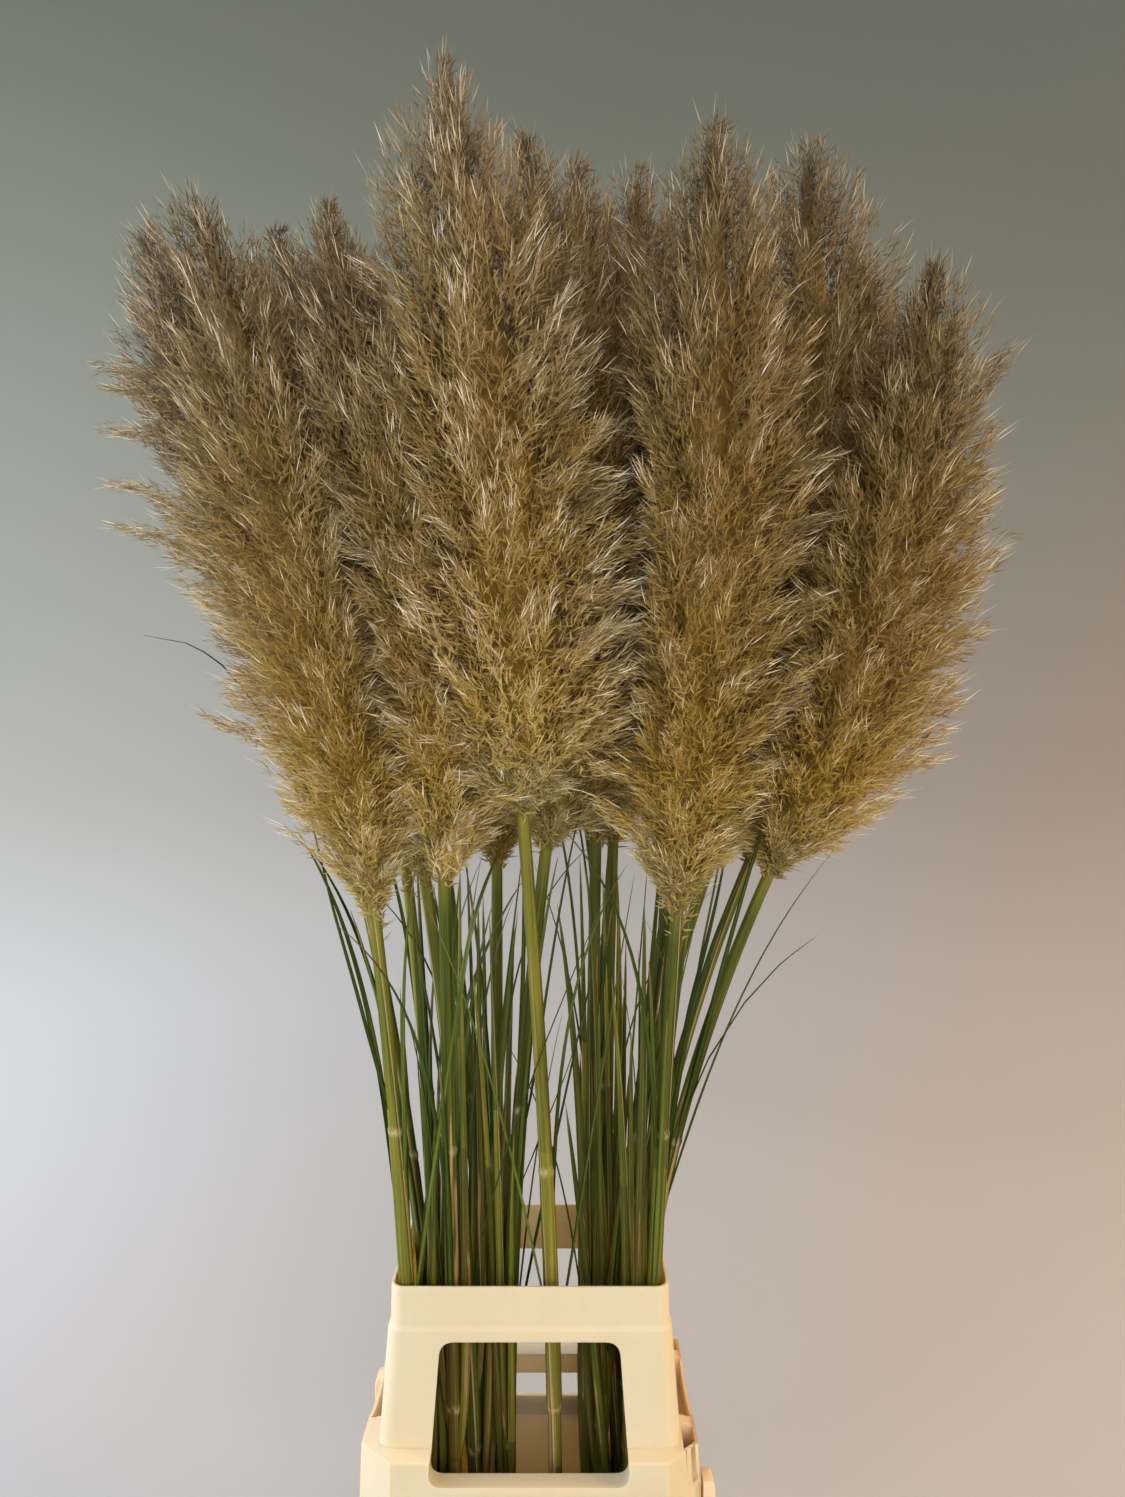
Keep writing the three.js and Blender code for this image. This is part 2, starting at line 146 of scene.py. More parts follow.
class Graph:
    """A node tree under construction."""

    def __init__(self, tree):
        self.tree = tree

    def node(self, kind, settings=None, sockets=None, output=0):
        """Adds a node: its settings first, then the values or wires of its sockets."""
        made = self.tree.nodes.new(kind)
        for name, value in (settings or {}).items():
            if name == "stops":
                self.stops(made.color_ramp, value)
            else:
                setattr(made, name, value)
        for name, value in (sockets or {}).items():
            for one in value if isinstance(value, list) else [value]:
                if isinstance(one, Wire):
                    self.tree.links.new(one.socket, made.inputs[name])
                else:
                    made.inputs[name].default_value = one
        return Wire(self, made.outputs[output])

    def stops(self, ramp, stops):
        while len(ramp.elements) < len(stops):
            ramp.elements.new(1)
        for element, (place, code) in zip(ramp.elements, stops):
            element.position = place
            element.color = paint(code)

    def blend(self, share, first, second):
        """A mix of two colours, each a wire or its six letters."""
        first, second = [paint(one) if isinstance(one, str) else one for one in (first, second)]
        sockets = {0: share, 6: first, 7: second}
        return self.node("ShaderNodeMix", {"data_type": "RGBA"}, sockets, output=2)

    def ramp(self, value, *stops):
        return self.node("ShaderNodeValToRGB", {"stops": stops}, {"Fac": value}, output="Color")

    def noise(self, place, scale, detail=2.0, stretch=(1, 1, 1)):
        """Noise from 0 to 1, in so many lumps a metre along each axis."""
        mapped = self.node("ShaderNodeMapping", None, {"Vector": place, "Scale": stretch})
        sockets = {"Vector": mapped, "Scale": scale, "Detail": detail}
        return self.node("ShaderNodeTexNoise", None, sockets, output="Fac")


class Finish(Graph):
    """A material. surface() sets its shader's sockets."""

    def __init__(self, name):
        self.material = bpy.data.materials.new(name)
        self.material.use_nodes = True
        super().__init__(self.material.node_tree)
        self.shader = self.tree.nodes["Principled BSDF"]
        self.place = self.node("ShaderNodeTexCoord", output="Object")

    def surface(self, **sockets):
        for name, value in sockets.items():
            socket = self.shader.inputs[name.replace("_", " ")]
            if isinstance(value, Wire):
                self.tree.links.new(value.socket, socket)
            else:
                socket.default_value = value

    def bump(self, height, depth, strength=1.0):
        sockets = {"Height": height, "Distance": depth, "Strength": strength}
        return self.node("ShaderNodeBump", None, sockets, output="Normal")


def paint(code):
    """A colour as the shaders take it, from its usual six letters."""
    parts = [int(code[i:i + 2], 16) / 255 for i in (0, 2, 4)]
    return (*[c / 12.92 if c <= 0.04045 else ((c + 0.055) / 1.055) ** 2.4 for c in parts], 1)


def mesh_object(name, points, faces, edges=()):
    mesh = bpy.data.meshes.new(name)
    mesh.from_pydata([tuple(p) for p in points], list(edges), faces)
    made = bpy.data.objects.new(name, mesh)
    scene.collection.objects.link(made)
    return made


def cove():
    sweep = [math.radians(a) for a in range(-90, 1, 6)]
    line = [(0.1 * COVE_REACH, 0), (0.2 * COVE_REACH, 0)]
    for turn in sweep:
        reach = COVE_REACH - COVE_SWEEP * (1 - math.cos(turn))
        line.append((reach, COVE_SWEEP * (1 + math.sin(turn))))
    line.append((COVE_REACH, COVE_TOP))
    points = [(0, 0, 0)]
    for reach, height in line:
        for i in range(COVE_SIDES):
            turn = 2 * math.pi * i / COVE_SIDES
            points.append((reach * math.cos(turn), reach * math.sin(turn), height))
    faces = [(0, 1 + i, 1 + (i + 1) % COVE_SIDES) for i in range(COVE_SIDES)]
    for k in range(len(line) - 1):
        low, high = 1 + k * COVE_SIDES, 1 + (k + 1) * COVE_SIDES
        for i in range(COVE_SIDES):
            j = (i + 1) % COVE_SIDES
            faces.append((low + i, high + i, high + j, low + j))
    made = mesh_object("studio_cove", points, faces)
    made.data.shade_smooth()
    return made


wall = Finish("studio_paint")
height = wall.node("ShaderNodeSeparateXYZ", None, {"Vector": wall.place}, output="Z")
# Painted shade: paler on the floor and darker up the wall, as if the lamps' light fell off upwards.
painted_shade_height = height + 0.4 * wall.noise(wall.place, 0.6, 2)
wall.surface(
    Base_Color=wall.ramp(painted_shade_height * 0.2, (0.05, "b6b7b7"), (0.22, "a7a7a3"), (0.9, "9aa196")),
    Roughness=0.9,
)
studio = cove()
studio.data.materials.append(wall.material)


def lamp(name, place, aim, size, power, colour):
    light = bpy.data.lights.new(name, "AREA")
    light.size = size
    light.energy = power
    light.color = paint(colour)[:3]
    made = bpy.data.objects.new(name, light)
    made.location = place
    made.rotation_euler = (Vector(aim) - Vector(place)).to_track_quat("-Z", "Y").to_euler()
    scene.collection.objects.link(made)


lamp("window_light", (-2.9, -2.9, 1.7), (0, 0, 0.6), 2.4, 63, "f8f7f6")
lamp("front_fill", (0.7, -3.4, 1.4), (0, 0, 0.2), 2.0, 61, "fff4e6")
lamp("top_light", (-2.2, 2.2, 3.2), (-3.0, 4.4, 1.6), 2.6, 88, "eaf5ff")
lamp("floor_light", (-3.0, 0.4, 2.0), (-0.5, 0.3, 0.0), 1.8, 108, "e6edff")
lamp("warm_bounce", (3.0, -0.2, 2.2), (1.2, 0.9, 0.0), 1.8, 86, "ffcd92")
lamp("warm_corner", (4.4, 1.6, 2.2), (3.1, 5.4, 0.4), 1.6, 42, "ff9238")

world = bpy.data.worlds.new("studio_air")
world.use_nodes = True
air = world.node_tree.nodes["Background"].inputs
air["Color"].default_value = paint("dedfdf")
air["Strength"].default_value = 0.72
scene.world = world

# ---- Bucket and collar --------------------------------------------------------------------------
# Two injection mouldings in cream polypropylene with 3 mm walls.
# The collar stands on the bucket's inner step and holds the stems up through its mouth.

WALL = 0.003
FLOOR = 0.004
GAP = 0.0003

# Height, half width, half depth and corner size of each level, from the lowest up.
# Corners are cut off straight where bow is 0 and rounded where it is 1.
BUCKET = {
    "bottom": (0, 0.155, 0.117, 0.034, 0),
    "flank": (0.178, 0.179, 0.140, 0.036, 0),
    "seat": (0.183, 0.1885, 0.1495, 0.038, 0),
    "brim": (0.196, 0.189, 0.150, 0.038, 0),
    "lip": (0.198, 0.193, 0.154, 0.039, 0),
    "top": (0.206, 0.193, 0.154, 0.039, 0),
}
COLLAR = {
    "foot": (0.1863, 0.1845, 0.1455, 0.037, 0),
    "ledge": (0.301, 0.181, 0.142, 0.036, 0),
    "waist": (0.305, 0.162, 0.122, 0.018, 1),
    "shoulder": (0.423, 0.1535, 0.1135, 0.016, 1),
    "neck": (0.431, 0.151, 0.111, 0.016, 1),
    "mouth": (0.470, 0.150, 0.110, 0.015, 1),
}
# Bottom, top, half width at the bottom and at the top, and corner size.
WINDOW = (0.276, 0.413, 0.106, 0.096, 0.015)
SLOT = (0.209, 0.239, 0.072, 0.070, 0.008)
WINDOW_FRAME = 0.003
POCKET_FLOOR = 0.266
POCKET_INNER = 0.164
POCKETS = [(-0.118, -0.076), (-0.060, 0.062), (0.078, 0.118)]
GRIP_DIP, GRIP_RADIUS, GRIP_INNER, GRIP_SIDES = 0.009, 0.190, 0.172, 72
CLIP_OUT = (0.186, 0.1985)
CLIP_SPAN = (-0.112, -0.086)
CLIP_LOW, CLIP_TOP, CLIP_CORNER = 0.200, 0.263, 0.009
CORNER_STEPS, NECK_STEPS = 8, 6
EDGE = 0.0011  # the most that an edge is rounded


def level(z, x, y, corner, bow):
    """A ring round a rectangle with its corners rounded or cut off, run anticlockwise."""
    ring = []
    for quarter, (sx, sy) in enumerate([(1, 1), (-1, 1), (-1, -1), (1, -1)]):
        for i in range(CORNER_STEPS + 1):
            turn = (CORNER_STEPS - i if quarter % 2 else i) / CORNER_STEPS
            round_x, round_y = math.cos(turn * math.pi / 2), math.sin(turn * math.pi / 2)
            across = x - corner + corner * ((1 - bow) * (1 - turn) + bow * round_x)
            along = y - corner + corner * ((1 - bow) * turn + bow * round_y)
            ring.append((sx * across, sy * along, z))
    return ring


def shrunk(ring, by, z=None):
    height, x, y, corner, bow = ring
    return (height if z is None else z, x - by, y - by, corner - by * (1 if bow else 0.6), bow)


def loft(name, rings):
    """A closed solid through level rings, from the lowest up."""
    count = len(rings[0])
    points = [p for ring in rings for p in ring]
    last = (len(rings) - 1) * count
    faces = [tuple(reversed(range(count))), tuple(range(last, last + count))]
    for k in range(1, len(rings)):
        low, high = (k - 1) * count, k * count
        for i in range(count):
            j = (i + 1) % count
            faces.append((low + i, low + j, high + j, high + i))
    return mesh_object(name, points, faces)


def slab(name, outline, near, far):
    """An outline in x and z, pushed along y from near to far."""
    count = len(outline)
    points = [(x, y, z) for y in (near, far) for x, z in outline]
    faces = [tuple(range(count)), tuple(reversed(range(count, 2 * count)))]
    for i in range(count):
        j = (i + 1) % count
        faces.append((i, i + count, j + count, j))
    return mesh_object(name, points, faces)


def block(name, x, y, z):
    return slab(name, [(x[0], z[0]), (x[1], z[0]), (x[1], z[1]), (x[0], z[1])], *y)


def rounded(corners, steps=6):
    """An outline through corners, each given as x, z and the size of its rounding."""
    outline = []
    for i, (x, z, size) in enumerate(corners):
        if not size:
            outline.append((x, z))
            continue
        at = Vector((x, z))
        beside = [Vector(corners[k % len(corners)][:2]) for k in (i - 1, i + 1)]
        before, after = [at + (other - at).normalized() * size for other in beside]
        for k in range(steps + 1):
            t = k / steps
            outline.append(tuple(before * (1 - t) ** 2 + at * 2 * t * (1 - t) + after * t**2))
    return outline


def opening(bottom, top, half_low, half_high, corner, grow=0.0):
    """A round-cornered hole, wide at the bottom, through the collar's front and back."""
    size = corner + grow
    right = [(half_low + grow, bottom - grow, size), (half_high + grow, top + grow, size)]
    left = [(-x, z, size) for x, z, size in reversed(right)]
    reach = COLLAR["foot"][2] + 0.01
    return slab("opening", rounded(right + left), -reach, reach)


def carved(body, *steps):
    """Cuts, joins or crosses a solid with others, which are used up."""
    for operation, tool in steps:
        cut = body.modifiers.new("cut", "BOOLEAN")
        cut.operation = operation
        cut.solver = "EXACT"
        cut.object = tool
        settle(body)
        bpy.data.objects.remove(tool)
    return body


def settle(made):
    """Turns an object's modifiers into plain mesh."""
    shape = bpy.data.meshes.new_from_object(made.evaluated_get(bpy.context.evaluated_depsgraph_get()))
    made.modifiers.clear()
    made.data = shape


def copy_of(solid):
    other = mesh_object(solid.name, [], [])
    other.data = solid.data.copy()
    return other


def turned_round(solid):
    """A copy, half a turn round the upright axis."""
    other = copy_of(solid)
    other.data.transform(Matrix.Rotation(math.pi, 4, "Z"))
    return other


def ease_edges(made):
    """Rounds a moulding's edges by what its shortest edge has room for: next to nothing on the collar."""
    bevel = made.modifiers.new("ease", "BEVEL")
    bevel.width = EDGE
    bevel.segments = 2
    bevel.limit_method = "ANGLE"
    bevel.angle_limit = math.radians(24)
    bevel.miter_outer = "MITER_ARC"
    settle(made)
    made.data.shade_smooth()
    made.data.set_sharp_from_angle(angle=math.radians(40))


def bucket_inside(z):
    """The ring inside the bucket's wall at a height."""
    low, high = BUCKET["bottom"], BUCKET["flank"]
    share = (z - low[0]) / (high[0] - low[0])
    sizes = [a + (b - a) * share for a, b in zip(low[1:4], high[1:4])]
    return shrunk((z, *sizes, 0), WALL)


def clip():
    """One of the tabs on the brim that hold the collar down."""
    inner, outer = CLIP_OUT
    low = [(inner, CLIP_LOW, 0), (outer, CLIP_LOW, 0)]
    top = [(outer, CLIP_TOP, CLIP_CORNER), (inner, CLIP_TOP, 0)]
    return slab("clip", rounded(low + top), *CLIP_SPAN)


def bucket():
    inside_seat = shrunk(BUCKET["seat"], WALL, BUCKET["seat"][0] + WALL)
    rings = [
        *BUCKET.values(), shrunk(BUCKET["top"], 0.007), inside_seat, shrunk(inside_seat, 0.008),
        bucket_inside(BUCKET["flank"][0] - WALL), bucket_inside(FLOOR),
    ]
    shell = loft("bucket_moulding", [level(*ring) for ring in rings])
    tab = clip()
    return carved(shell, ("UNION", tab), ("UNION", turned_round(tab)))


def pockets():
    """What the right shoulder's pockets and hand grip take away."""
    ledge = COLLAR["ledge"]
    out, rise = (POCKET_INNER, ledge[1]), (POCKET_FLOOR, ledge[0] + 0.02)
    blocks = [block("pocket", out, span, rise) for span in POCKETS]
    within = loft("within", [level(*shrunk(ledge, WALL, z)) for z in (POCKET_FLOOR - 0.001, rise[1])])
    taken = carved(blocks[0], ("UNION", blocks[1]), ("UNION", blocks[2]), ("INTERSECT", within))
    middle = sum(POCKETS[1]) / 2
    lowest = ledge[0] - GRIP_DIP
    arc = []
    for i in range(GRIP_SIDES):
        turn = 2 * math.pi * i / GRIP_SIDES
        arc.append((middle + GRIP_RADIUS * math.sin(turn), lowest + GRIP_RADIUS * (1 - math.cos(turn))))
    dip = slab("dip", arc, GRIP_INNER - 2 * ledge[1], -GRIP_INNER)
    dip.data.transform(Matrix.Rotation(math.pi / 2, 4, "Z"))
    return carved(taken, ("UNION", dip))


def collar():
    foot, ledge, waist, shoulder, neck, mouth = COLLAR.values()
    # Between the shoulder and the neck the wall steps in along a soft S.
    soft = []
    for i in range(1, NECK_STEPS):
        t = i / NECK_STEPS
        s = t * t * (3 - 2 * t)
        z = shoulder[0] + (neck[0] - shoulder[0]) * t
        soft.append((z, *[a + (b - a) * s for a, b in zip(shoulder[1:4], neck[1:4])], 1))
    outside = [foot, ledge, waist, shoulder, *soft, neck, mouth]
    full = loft("collar_moulding", [level(*ring) for ring in outside])
    drops = [(foot, -GAP), (ledge, -WALL), (waist, -WALL), (shoulder, 0), (neck, 0), (mouth, GAP)]
    hollow = loft("hollow", [level(*shrunk(ring, WALL, ring[0] + drop)) for ring, drop in drops])
    ends = waist[2] - 0.004
    middle = block("middle", (-foot[1], foot[1]), (-ends, ends), (foot[0], mouth[0]))
    around_window = opening(*WINDOW, grow=WINDOW_FRAME)
    frames = carved(around_window, ("DIFFERENCE", middle), ("INTERSECT", copy_of(full)))
    end = POCKETS[-1][1] + WALL
    rise = (POCKET_FLOOR - WALL, ledge[0] + 0.001)
    trough = block("trough", (POCKET_INNER - WALL, foot[1]), (-end, end), rise)
    carved(trough, ("INTERSECT", copy_of(full)))
    taken = pockets()
    return carved(
        full, ("DIFFERENCE", hollow), ("UNION", frames),
        ("UNION", turned_round(trough)), ("UNION", trough),
        ("DIFFERENCE", turned_round(taken)), ("DIFFERENCE", taken),
        ("DIFFERENCE", opening(*WINDOW)), ("DIFFERENCE", opening(*SLOT)),
    )


cream = Finish("cream_polypropylene")
cream_cloud = cream.noise(cream.place, 7, 3)
cream_scuff = cream.noise(cream.place, 60, 4, stretch=(1, 1, 0.12))
cream_grain = cream.noise(cream.place, 1400, 1)
cream_worn = cream_scuff.between(0.62, 0.78)
cream_base = cream.blend(cream_cloud.between(0.3, 0.7), "e9d3b0", "eddcbf")
cream.surface(
    Base_Color=cream.blend(cream_worn * 0.12, cream_base, "d9c193"),
    Roughness=0.36 + 0.16 * cream_scuff + 0.1 * cream_worn,
    Normal=cream.bump(cream_grain * 0.3 + cream_cloud, 0.0006, 0.35),
    Subsurface_Weight=0.7,
    Subsurface_Radius=(0.010, 0.007, 0.004),
    Subsurface_Scale=1.0,
    Specular_IOR_Level=0.45,
)

for moulding, part in [(bucket(), "bucket"), (collar(), "collar")]:
    ease_edges(moulding)
    moulding.data.materials.clear()
    moulding.data.materials.append(cream.material)
    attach(moulding, "root")
    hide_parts(part)

# ---- Water --------------------------------------------------------------------------------------
# A few centimetres of still water in the bucket, a little clouded by the cut stems.

water = Finish("clouded_water")
water_ripple = water.noise(water.place, 18, 2)
water.surface(
    Base_Color=water.blend(water_ripple, "8fa594", "a9b8a4"),
    Roughness=0.06,
    Alpha=0.55,
    Normal=water.bump(water_ripple, 0.002, 0.3),
)
water_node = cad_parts["water"]
water_node.data.materials.clear()
water_node.data.materials.append(water.material)

# ---- Leafy stems --------------------------------------------------------------------------------
# Each stem is a green cane, jointed at pale node rings and wrapped in sheaths that dry to tan.
# Long narrow blades leave the sheaths and run up beside the cane.

# Where each stalk meets the floor, the collar's mouth, the foot of its plume and its tip, and how
# far out its plume reaches.
STALKS = [
    ((-0.118, -0.076), (-0.135, -0.090), (-0.168, -0.118, 0.895), (-0.352, -0.160, 1.620), 0.134),
    ((-0.080, -0.074), (-0.086, -0.084), (-0.092, -0.110, 0.925), (-0.208, -0.158, 1.585), 0.128),
    ((0.026, -0.072), (0.022, -0.082), (-0.008, -0.118, 0.985), (-0.088, -0.165, 1.750), 0.142),
    ((0.118, -0.072), (0.135, -0.086), (0.158, -0.120, 0.895), (0.192, -0.165, 1.690), 0.136),
    ((0.116, -0.030), (0.134, -0.038), (0.268, -0.078, 0.922), (0.436, -0.105, 1.572), 0.128),
    ((-0.066, -0.034), (-0.075, -0.040), (-0.126, -0.036, 0.930), (-0.300, -0.006, 1.650), 0.123),
    ((-0.022, -0.028), (-0.022, -0.034), (0.018, -0.034, 0.945), (-0.008, -0.045, 1.740), 0.123),
    ((0.088, -0.014), (0.098, -0.018), (0.212, -0.010, 0.930), (0.318, -0.012, 1.752), 0.132),
    ((-0.116, 0.012), (-0.132, 0.012), (-0.212, 0.004, 0.940), (-0.462, 0.018, 1.660), 0.134),
    ((-0.056, 0.020), (-0.062, 0.024), (-0.112, 0.044, 0.942), (-0.262, 0.092, 1.732), 0.123),
    ((0.064, 0.024), (0.068, 0.028), (0.076, 0.052, 0.958), (0.050, 0.072, 1.778), 0.123),
    ((0.114, 0.030), (0.131, 0.036), (0.270, 0.058, 0.925), (0.412, 0.088, 1.650), 0.123),
    ((0.076, 0.068), (0.085, 0.082), (0.100, 0.118, 0.945), (0.134, 0.178, 1.822), 0.130),
    ((-0.044, 0.066), (-0.046, 0.078), (-0.048, 0.112, 0.922), (-0.130, 0.170, 1.726), 0.128),
    ((0.104, 0.072), (0.119, 0.084), (0.184, 0.118, 0.930), (0.282, 0.186, 1.700), 0.128),
    ((-0.106, 0.068), (-0.122, 0.082), (-0.168, 0.116, 0.930), (-0.352, 0.176, 1.676), 0.130),
]
STEM_FOOT_R = 0.008
STEM_TOP_R = 0.006
SHEATH = 0.0014  # how thick a sheath is
SHEATHS_FROM = [0.3, 0.64]  # about where the upper sheaths start, as shares of the cane's length
SWELL, TAPER = 0.35, 0.82  # how a plume widens from its foot and narrows to its tip
TRACE_STEPS = 24


def dice(seed):
    """A die that gives the same run of numbers from 0 to 1 for the same seed."""
    factor, limit = 16807, 2147483647
    state = seed * 7919 + 17

    def roll():
        nonlocal state
        state = state * factor % limit
        return state / limit

    return roll


def lerp(low, high, share):
    return low + (high - low) * share


def clamp(value, low=0.0, high=1.0):
    return max(low, min(high, value))


def arc_point(arc, t):
    start, bend, end = arc
    return start * (1 - t) ** 2 + bend * 2 * t * (1 - t) + end * t * t


def arc_heading(arc, t):
    start, bend, end = arc
    way = (bend - start) * (1 - t) + (end - bend) * t
    return way / np.linalg.norm(way)


def bulge(u):
    return u**SWELL * (1 - u) ** TAPER


def swell(u):
    """How wide a plume is at a share of its length, against its widest."""
    return bulge(clamp(u)) / bulge(SWELL / (SWELL + TAPER))


class Stalk:
    """Where one stalk runs, as two arcs, and how much room it takes at each height."""

    def __init__(self, number, foot, mouth, base, tip, radius):
        ground = np.array([*foot, FLOOR + GAP])
        through = np.array([*mouth, COLLAR["mouth"][0]])
        top, end = np.array(base), np.array(tip)
        bend = 2 * through - 0.5 * ground - 0.5 * top
        ahead = (top - bend) / np.linalg.norm(top - bend)
        onward = top + ahead * 0.45 * np.linalg.norm(end - top)
        self.number = number
        self.name = f"{number:02d}"
        self.radius = radius
        self.stem = (ground, bend, top)
        self.plume = (top, onward, end)
        shares = [i / TRACE_STEPS for i in range(TRACE_STEPS + 1)]
        self.trace = [(*arc_point(self.stem, t), STEM_FOOT_R + SHEATH, False) for t in shares[:-1]]
        self.trace += [(*arc_point(self.plume, t), radius * swell(t), True) for t in shares]

    def at(self, z):
        """Its x, y, room and whether this is its plume, at a height. None above its tip."""
        if z >= self.trace[-1][2]:
            return None
        k = 1
        while self.trace[k][2] < z:
            k += 1
        a, b = self.trace[k - 1], self.trace[k]
        share = clamp((z - a[2]) / (b[2] - a[2]))
        room = lerp(a[3], b[3], share) if a[4] else a[3]
        return lerp(a[0], b[0], share), lerp(a[1], b[1], share), room, a[4]


stalks = [Stalk(i + 1, *places) for i, places in enumerate(STALKS)]

LEAF_STEPS, LEAF_PARTS = 6, 7
RIM_ABOVE, RIM_SIDE, RIM_FRONT = 0.015, 0.006, 0.007  # how near a leaf may come to the collar's rim
# Broad leaves, slim ones that stay closer to the cane, and shoots whose leaves are still rolled up
# round each other. Ranges run over the tries, or at random. "from" is where a leaf leaves the cane,
# as a share of its length, "spare" the room kept round it, "heart" how much of a plume it keeps out
# of, and "rolled" how thick a shoot is against a flat leaf.
BROAD = {
    "seed": 0, "count": 3, "tries": 200, "from": (0.36, 0.86), "length": (0.560, 0.180),
    "splay": (0.05, 0.22), "arch": 0.9, "width": (0.007, 0.0105), "hug": (0, 0),
    "spare": 0.0022, "heart": 1.0, "rolled": 0,
}
SLIM = {
    "seed": 300, "count": 2, "tries": 60, "from": (0.2, 0.8), "length": (0.520, 0.180),
    "splay": (0.01, 0.12), "arch": 0.6, "width": (0.0065, 0.0120), "hug": (0.006, 0.009),
    "spare": 0.0002, "heart": 0.42, "rolled": 0,
}
SHOOT = {
    "seed": 500, "count": 4, "tries": 90, "from": (0.04, 0.34), "length": (0.680, 0.300),
    "splay": (0.0, 0.05), "arch": 0.2, "width": (0.0150, 0.0230), "hug": (0.009, 0.014),
    "spare": -0.003, "heart": 0.42, "rolled": 0.66,
}


def blade_half(width, s):
    """Half a leaf's width at a share of its length."""
    return 0.5 * width * min(1, 0.55 + 1.6 * s) * (1 - s) ** 0.55 + 0.0003


def midline(stalk, leaf, steps):
    """A leaf's midline, in equal steps. It leaves the cane, runs up beside it and arches over."""
    root, up = arc_point(stalk.stem, leaf["from"]), arc_heading(stalk.stem, leaf["from"])
    out = np.array([math.cos(leaf["turn"]), math.sin(leaf["turn"]), 0])
    length, splay, arch, hug = leaf["length"], leaf["splay"], leaf["arch"], leaf["hug"]
    line = []
    for i in range(steps + 1):
        s = i / steps
        rise = length * s * (1 - 0.16 * arch * s * s)
        away = 0.003 + hug * (1 - (1 - s) ** 9) + length * (splay * s + 0.3 * arch * s**3)
        line.append(root + up * rise + out * away)
    return line


def leaf_fits(stalk, line, leaf, habit, crowd):
    """The balls that hold a leaf, or None where one meets a stalk, a leaf or the collar."""
    balls = []
    for n in range(LEAF_STEPS * LEAF_PARTS + 1):
        i = min(n // LEAF_PARTS, LEAF_STEPS - 1)
        x, y, z = line[i] + (line[i + 1] - line[i]) * (n / LEAF_PARTS - i)
        half = blade_half(leaf["width"], n / (LEAF_STEPS * LEAF_PARTS)) + habit["spare"]
        for other in stalks:
            there = other.at(z)
            if there is None or (other is stalk and not there[3]):
                continue
            room = there[2] * habit["heart"] if there[3] else there[2]
            if math.hypot(x - there[0], y - there[1]) < room + half:
                return None
        rim, side, front, _, _ = COLLAR["mouth"]
        beside = abs(x) + half > side - RIM_SIDE or abs(y) + half > front - RIM_FRONT
        if z < rim + RIM_ABOVE and beside:
            return None
        balls.append((x, y, z, half))
    if len(crowd):
        rows = np.array(balls)
        apart = np.linalg.norm(rows[:, None, :3] - crowd[None, :, :3], axis=2)
        if (apart < rows[:, None, 3] + crowd[None, :, 3]).any():
            return None
    return balls


def leaves_of(stalk, habit, taken):
    """Leaves tried at random round the cane, ever shorter, until each fits."""
    roll = dice(habit["seed"] + stalk.number)
    leaves = []
    for _ in range(habit["count"]):
        crowd = np.array(taken)
        for attempt in range(habit["tries"]):
            leaf = {"from": lerp(*habit["from"], roll()), "turn": 2 * math.pi * roll()}
            leaf["length"] = lerp(*habit["length"], attempt / habit["tries"]) * lerp(0.8, 1.1, roll())
            leaf["splay"] = lerp(*habit["splay"], roll() ** 2)
            leaf["arch"] = lerp(0, habit["arch"], roll() ** 2)
            leaf["width"] = lerp(*habit["width"], roll())
            leaf["hug"] = lerp(*habit["hug"], leaf["width"] / habit["width"][1])
            balls = leaf_fits(stalk, midline(stalk, leaf, LEAF_STEPS), leaf, habit, crowd)
            if balls:
                leaf["tone"] = (leaf["turn"] * 7.3) % 1
                leaf["rolled"] = habit["rolled"]
                taken += balls
                leaves.append(leaf)
                break
    return leaves


def cane_radius(t, starts):
    """The cane thins upwards, and each sheath that starts on the way makes it thicker."""
    step = sum(clamp((t - start) / 0.004) * by for start, by in zip(starts, (SHEATH, -0.4 * SHEATH)))
    return lerp(STEM_FOOT_R, STEM_TOP_R, t) + step


CANE_STEPS = 56
LOW_NODE = 0.045  # where the cane's lowest joint is, as a share of its length
NODE_SHIFT = 0.05  # how far the others are from where the sheaths start, at most
RING_STEP, RING_HALF, RING_SWELL = 0.0035, 0.0045, 0.0006
GROOVE_BELOW, GROOVE_HALF, GROOVE_DEPTH = 0.008, 0.003, 0.0005

STATION = ("points", "radius", "side", "along", "ring")  # what a path knows at each of its points
ROUND, FLAT = 0, 1  # the kinds of path: canes and shoots, and leaves
POINT = 0.00002  # the size that a path's end shrinks to before it is drawn together
POINT_STEP = 0.0005  # how far past the end that is


def new_path(kind, tone):
    return {"kind": kind, "tone": tone, **{name: [] for name in STATION}}


def add_station(path, *values):
    for name, value in zip(STATION, values):
        path[name].append(value)


def end_caps(path):
    """Draws both ends of a path in to a point."""
    for end, beside in ((0, 1), (-1, -2)):
        way = path["points"][end] - path["points"][beside]
        tip = path["points"][end] + way / np.linalg.norm(way) * POINT_STEP
        values = [tip, POINT, path["side"][end], path["along"][end], path["ring"][end]]
        for name, value in zip(STATION, values):
            path[name].insert(0 if end == 0 else len(path[name]), value)


